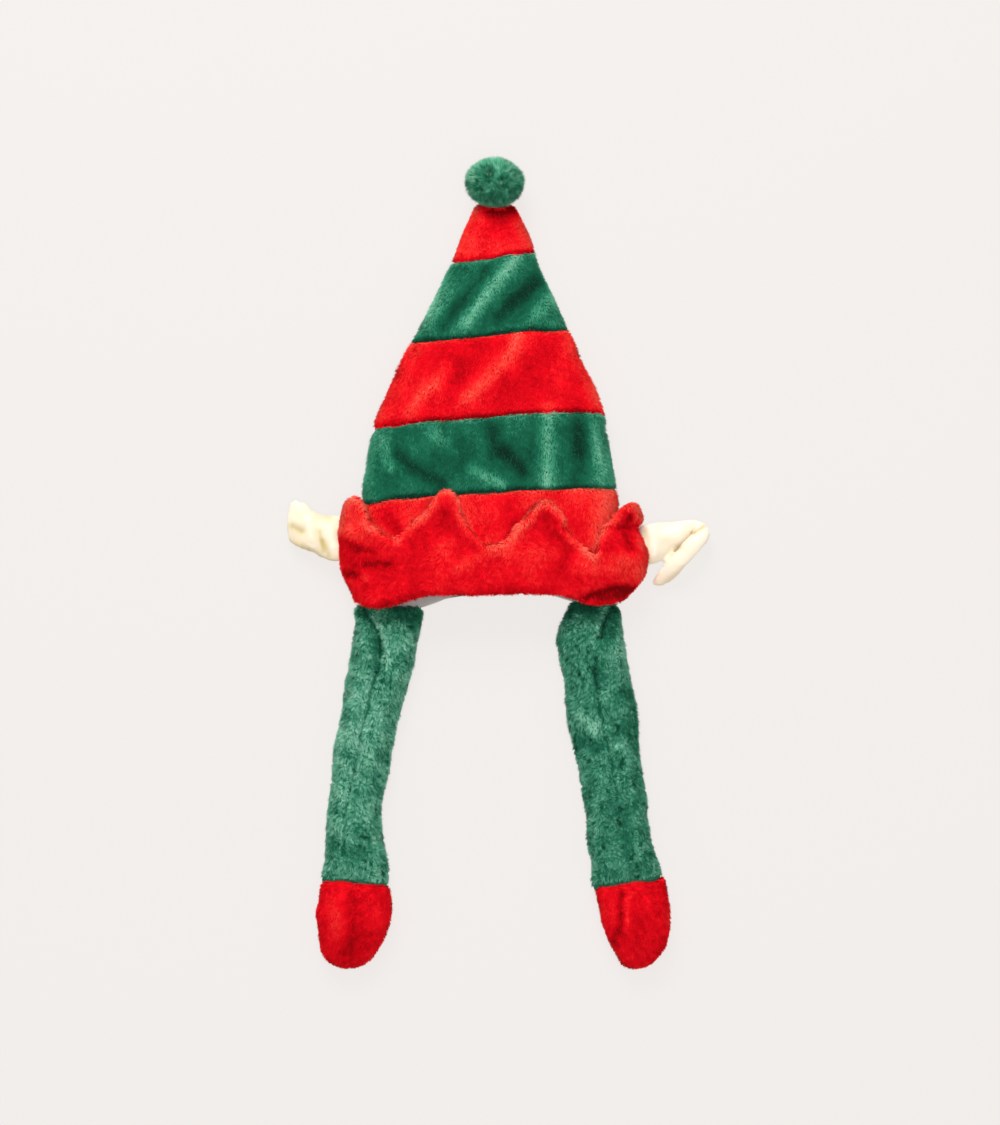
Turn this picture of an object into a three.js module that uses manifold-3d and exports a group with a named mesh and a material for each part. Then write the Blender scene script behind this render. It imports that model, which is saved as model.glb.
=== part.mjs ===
// Plush elf hat lying flat on a table: a striped cone with a turned-up zigzag cuff, a lining,
// two velour ears, two plush legs with red feet and a pompom at the tip.
// Millimetres, +Z up. +Y runs from the hem to the tip and +X to the right of the picture.
// The origin is on the table, under the middle of the cuff.
import * as THREE from "three";
import { mergeVertices } from "three/addons/utils/BufferGeometryUtils.js";
import Module from "manifold-3d";

// Crown
const crownLength = 409; // hem to tip
const crownWidth = 268; // across the lowest band
const crownLoft = 50; // top of the crown above the table, at the hem
const crownWall = 3;
const crownSettle = 1.16; // how far the underside is pressed flat, 1 is not at all
const seamDip = 1.6; // how deep a seam pulls the plush in
const seamGap = 0.3;
const foldRise = 4;

// Lining
const liningWall = 1;
const liningGap = 0.6;
const liningSetback = 1.2; // from the hem

// Cuff
const cuffHeight = 106; // hem to the tip of a peak
const cuffWidth = 322;
const cuffWall = 5; // two layers of plush sewn together
const cuffGap = 0.4;
const cuffPuff = 4; // how far the cuff stands off the crown half way up
const peakCurl = 6; // how far the peaks' tips stand off the crown
const hemToOrigin = 28;

// Ears
const earReach = 72; // side of the cuff to the fold
const earBreadth = 52;
const earLoft = 15;
const earSeatDepth = 6; // how far an ear runs into the cuff's surface before it is trimmed to it

// Legs and feet
const legLength = 297; // hem to the seam of the foot
const legWidth = 70;
const legLoft = 23;
const legGap = 0.5; // from the curved line of the hem
const legSeamDepth = 2.2;
const legSeamBreadth = 5.5;
const footLength = 85;
const footWidth = 80;
const footLoft = 34;

// Pompom
const pompomWidth = 62;
const pompomDepth = 56; // along the crown
const pompomLoft = 56;
const pompomSink = 3; // how far the tip of the crown runs into it
const lockCount = 46;
const lockWidth = 19;
const lockLength = 11;

const seatGap = 0.3; // between two pieces that are sewn to each other

// Faces
const crownColumns = { upper: 24, lower: 12 };
const cuffColumnsPerEdge = 5;
const legColumns = { upper: 18, lower: 8 };
const earColumns = 16;
const lockColumns = 6;

// Outline of the crown: along is a share of crownLength, and width and centre are shares of
// crownWidth. Loft is a share of crownLoft.
const crownStations = [
  { along: -0.05, width: 1.02, centre: 0.0, loft: 0.98 },
  { along: 0.0, width: 1.01, centre: 0.0, loft: 1.0 },
  { along: 0.249, width: 1.0, centre: 0.0, loft: 0.99 },
  { along: 0.351, width: 0.955, centre: -0.006, loft: 0.95 },
  { along: 0.441, width: 0.9, centre: -0.004, loft: 0.91 },
  { along: 0.577, width: 0.748, centre: 0.004, loft: 0.82 },
  { along: 0.762, width: 0.478, centre: 0.014, loft: 0.7 },
  { along: 0.885, width: 0.308, centre: 0.02, loft: 0.6 },
  { along: 1.0, width: 0.165, centre: 0.018, loft: 0.46 },
];

// Seams between the bands, from the tip down: shares of crownLength at the left edge, in the
// middle and at the right edge.
const crownSeams = [
  { left: 0.86, middle: 0.873, right: 0.884 },
  { left: 0.65, middle: 0.666, right: 0.682 },
  { left: 0.436, middle: 0.461, right: 0.475 },
  { left: 0.24, middle: 0.266, right: 0.28 },
];

// Drag folds on the upper side. Across is a share of the half width there, along a share of
// crownLength, breadth a share of crownWidth and rise a share of foldRise.
const crownFolds = [
  { fromAcross: 0.15, fromAlong: 0.85, toAcross: -0.35, toAlong: 0.7, breadth: 0.06, rise: 1.0 },
  { fromAcross: 0.75, fromAlong: 0.84, toAcross: 0.35, toAlong: 0.72, breadth: 0.05, rise: -0.35 },
  { fromAcross: 0.3, fromAlong: 0.65, toAcross: -0.2, toAlong: 0.5, breadth: 0.065, rise: 1.0 },
  { fromAcross: -0.3, fromAlong: 0.6, toAcross: -0.62, toAlong: 0.48, breadth: 0.06, rise: 0.7 },
  { fromAcross: -0.65, fromAlong: 0.38, toAcross: -0.3, toAlong: 0.32, breadth: 0.06, rise: -0.35 },
  { fromAcross: 0.45, fromAlong: 0.43, toAcross: 0.45, toAlong: 0.34, breadth: 0.06, rise: 1.0 },
  { fromAcross: 0.72, fromAlong: 0.43, toAcross: 0.74, toAlong: 0.34, breadth: 0.05, rise: -0.35 },
];

// Line of the hem: across is a share of the half width, upper and lower are the hem's two
// layers, in shares of cuffHeight above the hem's level.
const hemLine = [
  { across: -1.0, upper: -0.035, lower: -0.035 },
  { across: -0.86, upper: -0.095, lower: -0.098 },
  { across: -0.7, upper: -0.075, lower: -0.105 },
  { across: -0.5, upper: -0.002, lower: -0.1 },
  { across: -0.28, upper: 0.032, lower: -0.015 },
  { across: 0.0, upper: 0.038, lower: 0.022 },
  { across: 0.4, upper: 0.036, lower: 0.018 },
  { across: 0.54, upper: 0.01, lower: -0.035 },
  { across: 0.68, upper: -0.055, lower: -0.065 },
  { across: 0.86, upper: -0.06, lower: -0.06 },
  { across: 1.0, upper: -0.01, lower: -0.01 },
];

// Side of the cuff: rise is a share of cuffHeight and width a share of cuffWidth.
const cuffStations = [
  { rise: -0.1, width: 0.885, centre: -0.008 },
  { rise: 0.0, width: 0.905, centre: -0.006 },
  { rise: 0.12, width: 0.955, centre: 0.0 },
  { rise: 0.3, width: 0.995, centre: 0.008 },
  { rise: 0.45, width: 0.99, centre: 0.004 },
  { rise: 0.62, width: 0.98, centre: 0.002 },
  { rise: 0.75, width: 0.985, centre: 0.008 },
  { rise: 0.86, width: 0.97, centre: 0.006 },
  { rise: 1.05, width: 0.93, centre: 0.0 },
];

// Zigzag edge of the cuff, as shares of its girth from the right edge over the upper side and
// back along the table. Rise is a share of cuffHeight.
const cuffCorners = [
  { girth: 0.0, rise: 0.93 },
  { girth: 0.098, rise: 0.45 },
  { girth: 0.162, rise: 0.93 },
  { girth: 0.252, rise: 0.5 },
  { girth: 0.317, rise: 1.0 },
  { girth: 0.392, rise: 0.53 },
  { girth: 0.481, rise: 0.97 },
  { girth: 0.587, rise: 0.5 },
  { girth: 0.674, rise: 0.94 },
  { girth: 0.758, rise: 0.52 },
  { girth: 0.841, rise: 0.94 },
  { girth: 0.922, rise: 0.5 },
  { girth: 1.0, rise: 0.93 },
];
const peakRoundness = 0.65; // 0 is a straight zigzag

// Dents and lumps of the cuff's upper side: across is a share of its half width, rise a share
// of cuffHeight, spread a share of cuffHeight and lift a share of cuffWall.
const cuffDents = [
  { across: -0.84, rise: 0.3, spread: 0.14, lift: -0.9 },
  { across: -0.55, rise: 0.22, spread: 0.16, lift: -0.4 },
  { across: -0.2, rise: 0.3, spread: 0.25, lift: 0.45 },
  { across: 0.33, rise: 0.35, spread: 0.16, lift: -0.5 },
  { across: 0.62, rise: 0.22, spread: 0.18, lift: 0.6 },
  { across: 0.86, rise: 0.5, spread: 0.12, lift: -0.7 },
];

// Ears: away is a share of earReach from the side of the cuff, up one of earBreadth from the
// ear's root, loft a share of earLoft above the table. Turn is the direction of the width in
// degrees from +Y, positive towards -X on the right ear. Breadth and thick are shares of
// earBreadth and earLoft.
const earRoot = { left: 0.57, right: 0.51 }; // shares of cuffHeight above the hem
const earPaths = {
  left: [
    { away: -0.1, up: 0.0, loft: 1.55, turn: 0, breadth: 1.0, thick: 0.95 },
    { away: 0.14, up: 0.03, loft: 1.3, turn: 2, breadth: 0.94, thick: 0.9 },
    { away: 0.36, up: 0.13, loft: 1.1, turn: 4, breadth: 0.86, thick: 0.8 },
    { away: 0.56, up: 0.29, loft: 1.02, turn: 3, breadth: 0.95, thick: 0.68 },
    { away: 0.69, up: 0.36, loft: 0.66, turn: 0, breadth: 0.88, thick: 0.5 },
    { away: 0.58, up: 0.28, loft: 0.27, turn: 0, breadth: 0.7, thick: 0.48 },
    { away: 0.4, up: 0.16, loft: 0.25, turn: 4, breadth: 0.5, thick: 0.46 },
    { away: 0.22, up: 0.06, loft: 0.22, turn: 6, breadth: 0.28, thick: 0.34 },
  ],
  right: [
    { away: -0.1, up: -0.03, loft: 1.55, turn: 2, breadth: 0.92, thick: 0.95 },
    { away: 0.12, up: 0.03, loft: 1.15, turn: 4, breadth: 0.84, thick: 0.9 },
    { away: 0.34, up: 0.1, loft: 0.62, turn: 8, breadth: 0.8, thick: 0.8 },
    { away: 0.56, up: 0.23, loft: 0.42, turn: 18, breadth: 0.6, thick: 0.66 },
    { away: 0.77, up: 0.33, loft: 0.4, turn: 28, breadth: 0.42, thick: 0.6 },
    { away: 0.91, up: 0.34, loft: 0.85, turn: 36, breadth: 0.36, thick: 0.5 },
    { away: 0.8, up: 0.1, loft: 1.3, turn: 46, breadth: 0.36, thick: 0.6 },
    { away: 0.54, up: -0.32, loft: 1.22, turn: 49, breadth: 0.36, thick: 0.6 },
    { away: 0.34, up: -0.64, loft: 0.62, turn: 49, breadth: 0.33, thick: 0.52 },
    { away: 0.23, up: -0.8, loft: 0.4, turn: 49, breadth: 0.22, thick: 0.4 },
  ],
};

// Legs: along is a share of legLength from the hem, across a share of half the crown's width,
// width a share of legWidth, loft a share of legLoft, seam a share of the half width there, and
// crease a multiple of legSeamDepth.
const legStations = {
  left: [
    { along: 0.0, across: -0.785, width: 0.96, loft: 0.75, seam: -0.66, crease: 2.2 },
    { along: 0.06, across: -0.8, width: 1.0, loft: 0.95, seam: -0.45, crease: 2.8 },
    { along: 0.15, across: -0.845, width: 1.0, loft: 1.05, seam: -0.06, crease: 2.6 },
    { along: 0.25, across: -0.89, width: 0.98, loft: 1.0, seam: -0.1, crease: 1.6 },
    { along: 0.38, across: -0.955, width: 0.9, loft: 0.96, seam: -0.1, crease: 1.0 },
    { along: 0.6, across: -1.035, width: 0.88, loft: 0.94, seam: -0.18, crease: 1.0 },
    { along: 0.76, across: -1.072, width: 0.81, loft: 0.98, seam: -0.22, crease: 1.0 },
    { along: 0.88, across: -1.066, width: 0.92, loft: 1.0, seam: -0.28, crease: 1.0 },
    { along: 1.0, across: -1.062, width: 0.98, loft: 1.0, seam: -0.32, crease: 1.0 },
  ],
  right: [
    { along: 0.0, across: 0.795, width: 0.76, loft: 0.75, seam: 0.5, crease: 2.4 },
    { along: 0.05, across: 0.785, width: 0.9, loft: 0.95, seam: 0.34, crease: 2.8 },
    { along: 0.14, across: 0.775, width: 1.0, loft: 1.05, seam: 0.12, crease: 2.2 },
    { along: 0.23, across: 0.818, width: 1.02, loft: 1.0, seam: -0.02, crease: 1.2 },
    { along: 0.38, across: 0.868, width: 1.06, loft: 0.96, seam: 0.02, crease: 1.0 },
    { along: 0.56, across: 0.925, width: 0.98, loft: 0.95, seam: 0.06, crease: 1.0 },
    { along: 0.72, across: 0.985, width: 0.97, loft: 0.97, seam: 0.1, crease: 1.0 },
    { along: 0.86, across: 1.03, width: 0.98, loft: 1.0, seam: 0.12, crease: 1.0 },
    { along: 1.0, across: 1.075, width: 1.02, loft: 1.0, seam: 0.1, crease: 1.0 },
  ],
};
const footSlant = { left: -0.04, right: 0.07 }; // rise of the foot's seam over half its width

// Feet: along is a share of footLength, drift a share of footWidth, width one of footWidth and
// loft one of footLoft.
const footStations = {
  left: [
    { along: 0.0, drift: 0.0, width: 0.93, loft: 0.72 },
    { along: 0.1, drift: -0.01, width: 0.97, loft: 0.84 },
    { along: 0.28, drift: -0.015, width: 0.99, loft: 0.97 },
    { along: 0.45, drift: -0.03, width: 0.97, loft: 1.0 },
    { along: 0.62, drift: -0.04, width: 0.9, loft: 0.96 },
    { along: 0.8, drift: -0.08, width: 0.71, loft: 0.82 },
    { along: 0.93, drift: -0.09, width: 0.47, loft: 0.6 },
    { along: 0.985, drift: -0.09, width: 0.26, loft: 0.42 },
  ],
  right: [
    { along: 0.0, drift: 0.0, width: 0.93, loft: 0.72 },
    { along: 0.1, drift: 0.012, width: 0.93, loft: 0.84 },
    { along: 0.28, drift: 0.045, width: 0.93, loft: 0.97 },
    { along: 0.45, drift: 0.07, width: 0.9, loft: 1.0 },
    { along: 0.62, drift: 0.085, width: 0.82, loft: 0.96 },
    { along: 0.8, drift: 0.09, width: 0.64, loft: 0.82 },
    { along: 0.93, drift: 0.065, width: 0.42, loft: 0.6 },
    { along: 0.985, drift: 0.05, width: 0.24, loft: 0.42 },
  ],
};

const plushRoundness = 0.8; // 1 is an ellipse, less is squarer
const edgeHeight = 0.44; // share of the loft at which a flattened tube is widest

const { clamp, lerp, smoothstep, degToRad } = THREE.MathUtils;

const wasm = await Module();
wasm.setup();

// Value of a table's column at t, on a smooth curve through the rows.
function read(rows, key, column, t) {
  const last = rows.length - 1;
  let i = 0;
  while (i < last - 1 && rows[i + 1][key] < t) i++;
  const slope = (j) => {
    const before = rows[Math.max(j - 1, 0)];
    const after = rows[Math.min(j + 1, last)];
    return (after[column] - before[column]) / (after[key] - before[key]);
  };
  const span = rows[i + 1][key] - rows[i][key];
  const s = clamp((t - rows[i][key]) / span, 0, 1);
  const [s2, s3] = [s * s, s * s * s];
  return (
    rows[i][column] * (2 * s3 - 3 * s2 + 1) +
    rows[i + 1][column] * (3 * s2 - 2 * s3) +
    span * (slope(i) * (s3 - 2 * s2 + s) + slope(i + 1) * (s3 - s2))
  );
}

const middleOf = (ring) => [
  ring.reduce((sum, point) => sum.add(point), new THREE.Vector3()).divideScalar(ring.length),
];

// Closed solid through a list of rings. A ring of one point is a pole. Without poles, the last
// ring joins the first, as the wall of a tube does.
function loft(rings) {
  const columns = Math.max(...rings.map((ring) => ring.length));
  const points = rings.map((ring) => (ring.length === 1 ? Array(columns).fill(ring[0]) : ring));
  const closed = rings[0].length > 1;
  const corners = [];
  for (let i = 0; i < rings.length - (closed ? 0 : 1); i++) {
    const [here, next] = [points[i], points[(i + 1) % rings.length]];
    for (let j = 0; j < columns; j++) {
      const k = (j + 1) % columns;
      corners.push(here[j], next[j], next[k], here[j], next[k], here[k]);
    }
  }
  const geometry = new THREE.BufferGeometry().setFromPoints(corners);
  return faceOut(tidy(geometry));
}

// Shared vertices merged, and the triangles that a pole leaves flat taken out.
function tidy(geometry) {
  geometry.deleteAttribute("normal");
  geometry.deleteAttribute("uv");
  const merged = mergeVertices(geometry, 1e-3);
  const kept = [];
  for (let i = 0; i < merged.index.count; i += 3) {
    const [a, b, c] = [0, 1, 2].map((n) => merged.index.getX(i + n));
    if (a !== b && b !== c && c !== a) kept.push(a, b, c);
  }
  return merged.setIndex(kept);
}

function faceOut(geometry) {
  const [a, b, c] = [new THREE.Vector3(), new THREE.Vector3(), new THREE.Vector3()];
  const { position } = geometry.attributes;
  const index = [...geometry.index.array];
  let volume = 0;
  for (let i = 0; i < index.length; i += 3) {
    [a, b, c].forEach((p, n) => p.fromBufferAttribute(position, index[i + n]));
    volume += a.dot(b.cross(c));
  }
  return volume < 0 ? geometry.setIndex(index.reverse()) : geometry;
}

function toSolid(geometry) {
  const merged = tidy(geometry);
  return new wasm.Manifold(
    new wasm.Mesh({
      numProp: 3,
      vertProperties: merged.attributes.position.array,
      triVerts: new Uint32Array(merged.index.array),
    }),
  );
}

function toGeometry(solid) {
  const { vertProperties, triVerts } = solid.getMesh();
  return new THREE.BufferGeometry()
    .setAttribute("position", new THREE.BufferAttribute(vertProperties, 3))
    .setIndex(new THREE.BufferAttribute(triVerts, 1));
}

// A flattened tube's section: z is highest at top, widest at edge and pressed flat at bottom.
function sectionPoint(section, angle, y) {
  const [cosine, sine] = [Math.cos(angle), Math.sin(angle)];
  const across = Math.sign(cosine) * Math.abs(cosine) ** plushRoundness;
  const rise = Math.abs(sine) ** plushRoundness;
  const { centre, half, top, edge, bottom } = section;
  const below = Math.max(bottom, edge - (edge - bottom) * crownSettle * rise);
  return new THREE.Vector3(
    centre + half * across,
    y,
    sine >= 0 ? edge + (top - edge) * rise : below,
  );
}

// Angles at the given shares of a section's girth.
function anglesAt(section, shares) {
  const steps = 720;
  const lengths = [0];
  let before = sectionPoint(section, 0, 0);
  for (let i = 1; i <= steps; i++) {
    const point = sectionPoint(section, (i / steps) * 2 * Math.PI, 0);
    lengths.push(lengths[i - 1] + point.distanceTo(before));
    before = point;
  }
  return shares.map((share) => {
    const wanted = share * lengths[steps];
    const i = Math.max(1, lengths.findIndex((length) => length >= wanted));
    const part = (wanted - lengths[i - 1]) / (lengths[i] - lengths[i - 1]);
    return ((i - 1 + part) / steps) * 2 * Math.PI;
  });
}

const evenShares = (count) => Array.from({ length: count }, (_, i) => i / count);

const columnAngles = (section, { upper, lower }) =>
  anglesAt(section, [
    ...evenShares(upper).map((share) => share / 2),
    ...evenShares(lower).map((share) => (1 + share) / 2),
  ]);

// The crown lies on the back of the cuff near the hem, and on the table further up.
function crownFloor(y) {
  const onCuff = cuffWall + cuffGap;
  return onCuff * (1 - smoothstep(y, 1.02 * cuffHeight, 1.55 * cuffHeight));
}

function crownSection(y, inset) {
  const along = y / crownLength;
  const loftHere = read(crownStations, "along", "loft", along) * crownLoft;
  const floor = crownFloor(y);
  return {
    centre: read(crownStations, "along", "centre", along) * crownWidth,
    half: (read(crownStations, "along", "width", along) * crownWidth) / 2 - inset,
    top: loftHere - inset,
    edge: lerp(floor, loftHere, edgeHeight),
    bottom: floor + inset,
  };
}

// Height that the drag folds add at a point of the upper side.
function foldAt(across, y) {
  const half = (at) => (read(crownStations, "along", "width", at) * crownWidth) / 2;
  const along = y / crownLength;
  const point = new THREE.Vector2(across * half(along), y);
  return crownFolds.reduce((sum, fold) => {
    const from = new THREE.Vector2(fold.fromAcross * half(fold.fromAlong), fold.fromAlong * crownLength);
    const to = new THREE.Vector2(fold.toAcross * half(fold.toAlong), fold.toAlong * crownLength);
    const line = to.clone().sub(from);
    const share = clamp(point.clone().sub(from).dot(line) / line.lengthSq(), 0, 1);
    const distance = point.distanceTo(from.addScaledVector(line, share));
    const spread = distance / (fold.breadth * crownWidth);
    return sum + fold.rise * foldRise * Math.exp(-spread * spread);
  }, 0);
}

function crownPoint(angle, y, inset) {
  const point = sectionPoint(crownSection(y, inset), angle, y);
  const outside = inset < crownWall ? smoothstep(Math.sin(angle), 0.2, 0.9) : 0;
  point.z += foldAt(Math.cos(angle), y) * outside;
  return point;
}

const crownAngles = columnAngles(crownSection(crownLength / 2, 0), crownColumns);

function seamAt(seam, angle) {
  const across = Math.cos(angle);
  const ends = lerp(seam.left, seam.right, (across + 1) / 2);
  const bow = seam.middle - (seam.left + seam.right) / 2;
  return (ends + bow * (1 - across * across)) * crownLength;
}

function hemAt(angle) {
  const across = Math.cos(angle);
  const upper = read(hemLine, "across", "upper", across);
  const lower = read(hemLine, "across", "lower", across);
  const turn = smoothstep(Math.sin(angle), -0.2, 0.2);
  return lerp(lower, upper, turn) * cuffHeight;
}

// Ring round the crown between two lines, at a share of the way from the first to the second.
function crownRing(fromLine, toLine, share, inset) {
  return crownAngles.map((angle) => {
    const y = lerp(fromLine(angle), toLine(angle), share);
    return crownPoint(angle, y, inset);
  });
}

const insideShares = [0, 0.5, 1]; // rings on the inside of a band

// One band of the crown: its outside dips at both seams.
function crownBand(fromLine, toLine) {
  const outside = [
    [0, seamDip],
    [0.07, 0.3 * seamDip],
    [0.22, 0],
    [0.41, 0],
    [0.6, 0],
    [0.79, 0],
    [0.93, 0.3 * seamDip],
    [1, seamDip],
  ];
  return loft([
    ...outside.map(([share, dip]) => crownRing(fromLine, toLine, share, dip)),
    ...insideShares.toReversed().map((share) => crownRing(fromLine, toLine, share, crownWall)),
  ]);
}

// A cap over the tip end: rings close on a pole outside and on one inside.
function crownTip(fromLine) {
  const tipLine = () => crownLength;
  const pole = (y, inset) => {
    const section = crownSection(y, inset);
    return [new THREE.Vector3(section.centre, y, section.edge)];
  };
  const outside = [
    [0, seamDip],
    [0.1, 0.3 * seamDip],
    [0.3, 0],
    [0.65, 0],
    [0.93, 0],
    [1, crownWall],
  ];
  const inside = [0.92, 0.5, 0];
  return loft([
    pole(crownLength, 0),
    ...outside.toReversed().map(([share, dip]) => crownRing(fromLine, tipLine, share, dip)),
    ...inside.toReversed().map((share) => crownRing(fromLine, tipLine, share, crownWall)),
    pole(crownLength - crownWall - seamGap, crownWall),
  ]);
}

const bandEdge = (seam, side) => (angle) => seamAt(seam, angle) + (side * seamGap) / 2;

function crownBands() {
  const [tip, upper, middle, lower] = crownSeams;
  return {
    crown_tip: crownTip(bandEdge(tip, 1)),
    crown_band_upper_green: crownBand(bandEdge(upper, 1), bandEdge(tip, -1)),
    crown_band_red: crownBand(bandEdge(middle, 1), bandEdge(upper, -1)),
    crown_band_lower_green: crownBand(bandEdge(lower, 1), bandEdge(middle, -1)),
    crown_band_base: crownBand(hemAt, bandEdge(lower, -1)),
  };
}

// Thin sleeve inside the three lowest bands, with its rings where theirs are.
function lining() {
  const [, upper, middle, lower] = crownSeams;
  const mouth = (angle) => hemAt(angle) + liningSetback;
  const lines = [mouth, bandEdge(lower, 0), bandEdge(middle, 0), bandEdge(upper, 0)];
  const sleeve = (inset) =>
    lines.slice(1).flatMap((line, i) =>
      insideShares.slice(i ? 1 : 0).map((share) => crownRing(lines[i], line, share, inset)),
    );
  const outer = crownWall + liningGap;
  return loft([...sleeve(outer), ...sleeve(outer + liningWall).toReversed()]);
}

function cuffSection(y, inset) {
  const rise = clamp(y / cuffHeight, -0.1, 1.05);
  const crownHere = crownSection(y, 0);
  const puff = cuffPuff * Math.sin(Math.PI * clamp(rise, 0, 1));
  const top = crownHere.top + foldRise / 2 + cuffGap + cuffWall + puff;
  return {
    centre: read(cuffStations, "rise", "centre", rise) * cuffWidth,
    half: (read(cuffStations, "rise", "width", rise) * cuffWidth) / 2 - inset,
    top: top - inset,
    edge: crownHere.edge,
    bottom: inset,
  };
}

function cuffDentAt(across, rise) {
  const girthToHeight = cuffWidth / 2 / cuffHeight;
  return cuffDents.reduce((sum, dent) => {
    const away = Math.hypot((across - dent.across) * girthToHeight, rise - dent.rise) / dent.spread;
    return sum + dent.lift * cuffWall * Math.exp(-away * away);
  }, 0);
}

// Columns of the cuff: the angle of each, and how high the zigzag edge stands there.
const cuffTurns = (() => {
  const turns = cuffCorners.slice(0, -1).flatMap((corner, i) => {
    const next = cuffCorners[i + 1];
    return evenShares(cuffColumnsPerEdge).map((share) => {
      const climb = next.rise > corner.rise ? share : 1 - share;
      const rounded = lerp(climb, Math.sin((climb * Math.PI) / 2), peakRoundness);
      const [low, high] = [Math.min(corner.rise, next.rise), Math.max(corner.rise, next.rise)];
      return { girth: lerp(corner.girth, next.girth, share), rise: lerp(low, high, rounded) };
    });
  });
  const angles = anglesAt(cuffSection(0.4 * cuffHeight, 0), turns.map(({ girth }) => girth));
  return turns.map(({ rise }, i) => ({ rise, angle: angles[i] }));
})();

// Ring of the cuff at a share of the way from the hem to the zigzag edge.
function cuffRing(share, inset, edgeDrop = 0) {
  return cuffTurns.map(({ rise, angle }) => {
    const y = lerp(hemAt(angle), rise * cuffHeight - edgeDrop, share);
    const point = sectionPoint(cuffSection(y, inset), angle, y);
    const upper = Math.max(0, Math.sin(angle));
    const curl = peakCurl * smoothstep(y / cuffHeight, 0.62, 1);
    const dent = cuffDentAt(Math.cos(angle), y / cuffHeight);
    point.z += smoothstep(upper, 0.1, 0.8) * (curl + (inset < cuffWall ? dent : 0));
    return point;
  });
}

const cuffShares = [0.06, 0.3, 0.55, 0.8, 0.95]; // rings of the cuff's outside

function cuff() {
  const edge = 0.3 * cuffWall;
  return loft([
    cuffRing(0, edge),
    ...cuffShares.map((share) => cuffRing(share, 0)),
    cuffRing(1, edge),
    cuffRing(1, cuffWall - edge),
    cuffRing(0.94, cuffWall),
    cuffRing(0.6, cuffWall),
    cuffRing(0.3, cuffWall),
    cuffRing(0, cuffWall),
  ]);
}

// Everything inside the cuff's outer surface, grown by the seat's gap.
function cuffBlock() {
  const rings = [0, ...cuffShares, 1].map((share) => cuffRing(share, -seatGap));
  return loft([middleOf(rings[0]), ...rings, middleOf(rings.at(-1))]);
}

// An ear is a padded strip swept along its folded path and trimmed to the side of the cuff.
function ear(side) {
  const mirror = side === "left" ? -1 : 1;
  const root = earRoot[side] * cuffHeight;
  const rootSection = cuffSection(root, 0);
  const rootX = rootSection.centre + mirror * rootSection.half;
  const rows = earPaths[side];
  const centres = rows.map(
    ({ away, up, loft: height }, i) =>
      new THREE.Vector3(
        rootX + mirror * (i ? away * earReach : -earSeatDepth),
        root + up * earBreadth,
        height * earLoft,
      ),
  );
  const path = new THREE.CatmullRomCurve3(centres, false, "centripetal");
  const steps = 2 * (rows.length - 1);
  const rings = Array.from({ length: steps + 1 }, (_, i) => {
    const t = i / steps;
    const row = t * (rows.length - 1);
    const between = (column) =>
      read(rows.map((entry, n) => ({ n, value: entry[column] })), "n", "value", row);
    const turn = degToRad(between("turn"));
    const wide = new THREE.Vector3(-mirror * Math.sin(turn), Math.cos(turn), 0);
    const thick = path.getTangent(t).cross(wide).normalize();
    const centre = path.getPoint(t);
    const [halfBreadth, halfThick] = [
      (between("breadth") * earBreadth) / 2,
      (between("thick") * earLoft) / 2,
    ];
    return Array.from({ length: earColumns }, (_, j) => {
      const angle = (j / earColumns) * 2 * Math.PI;
      return centre
        .clone()
        .addScaledVector(wide, halfBreadth * Math.cos(angle))
        .addScaledVector(thick, halfThick * Math.sin(angle));
    });
  });
  const tip = centres.at(-1).clone().addScaledVector(path.getTangent(1), 0.1 * earBreadth);
  const strip = toSolid(loft([[centres[0]], ...rings, [tip]]));
  return toGeometry(strip.subtract(toSolid(cuffBlock())));
}

const tubeSection = (centre, half, top) => ({
  centre,
  half,
  top,
  edge: edgeHeight * top,
  bottom: 0,
});
const legAngles = columnAngles(tubeSection(0, legWidth / 2, legLoft), legColumns);

// Line of the hem on the table at x, below the crown and the cuff.
const hemRings = [0, crownWall]
  .map((inset) => crownRing(hemAt, hemAt, 0, inset))
  .concat([0, cuffWall].map((inset) => cuffRing(0, inset)));

function lowerHemAt(x) {
  const widest = cuffSection(0, 0);
  const within = clamp(x, widest.centre - 0.98 * widest.half, widest.centre + 0.98 * widest.half);
  const crossings = hemRings.flatMap((ring) =>
    ring
      .map((point, i) => [point, ring[(i + 1) % ring.length]])
      .filter(([a, b]) => Math.min(a.z, b.z) < legLoft && (a.x - within) * (b.x - within) < 0)
      .map(([a, b]) => lerp(a.y, b.y, (within - a.x) / (b.x - a.x))),
  );
  return Math.min(...crossings);
}

function legSection(side, y) {
  const rows = legStations[side];
  const along = clamp(-y / legLength, 0, 1);
  return {
    centre: (read(rows, "along", "across", along) * crownWidth) / 2,
    half: (read(rows, "along", "width", along) * legWidth) / 2,
    loft: read(rows, "along", "loft", along) * legLoft,
    seam: read(rows, "along", "seam", along),
    crease: read(rows, "along", "crease", along),
  };
}

// Ring of a leg at a share of the way from the hem to the foot, drawn in to a share of its size.
function legRing(side, share, size = 1) {
  const slant = footSlant[side] * footWidth;
  const near = legSection(side, -share * legLength);
  return legAngles.map((angle) => {
    const { x } = sectionPoint(tubeSection(near.centre, size * near.half, legLoft), angle, 0);
    const foot = seamGap - legLength + slant * Math.cos(angle) * size;
    const y = lerp(lowerHemAt(x) - legGap, foot, share);
    const { centre, half, loft: height, seam, crease } = legSection(side, y);
    const tube = tubeSection(centre, half, height);
    const point = sectionPoint(tube, angle, y);
    const fromSeam = (point.x - centre - seam * half) / legSeamBreadth;
    const depth = legSeamDepth * crease * Math.max(0, Math.sin(angle));
    point.z -= depth * Math.exp(-fromSeam * fromSeam);
    point.x = lerp(centre, point.x, size);
    point.z = lerp(tube.edge, point.z, size);
    return point;
  });
}

const legShares = [0, 0.02, 0.05, 0.09, 0.14, 0.2, 0.28, 0.37, 0.47, 0.58, 0.68, 0.78, 0.88, 0.96, 1];

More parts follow.
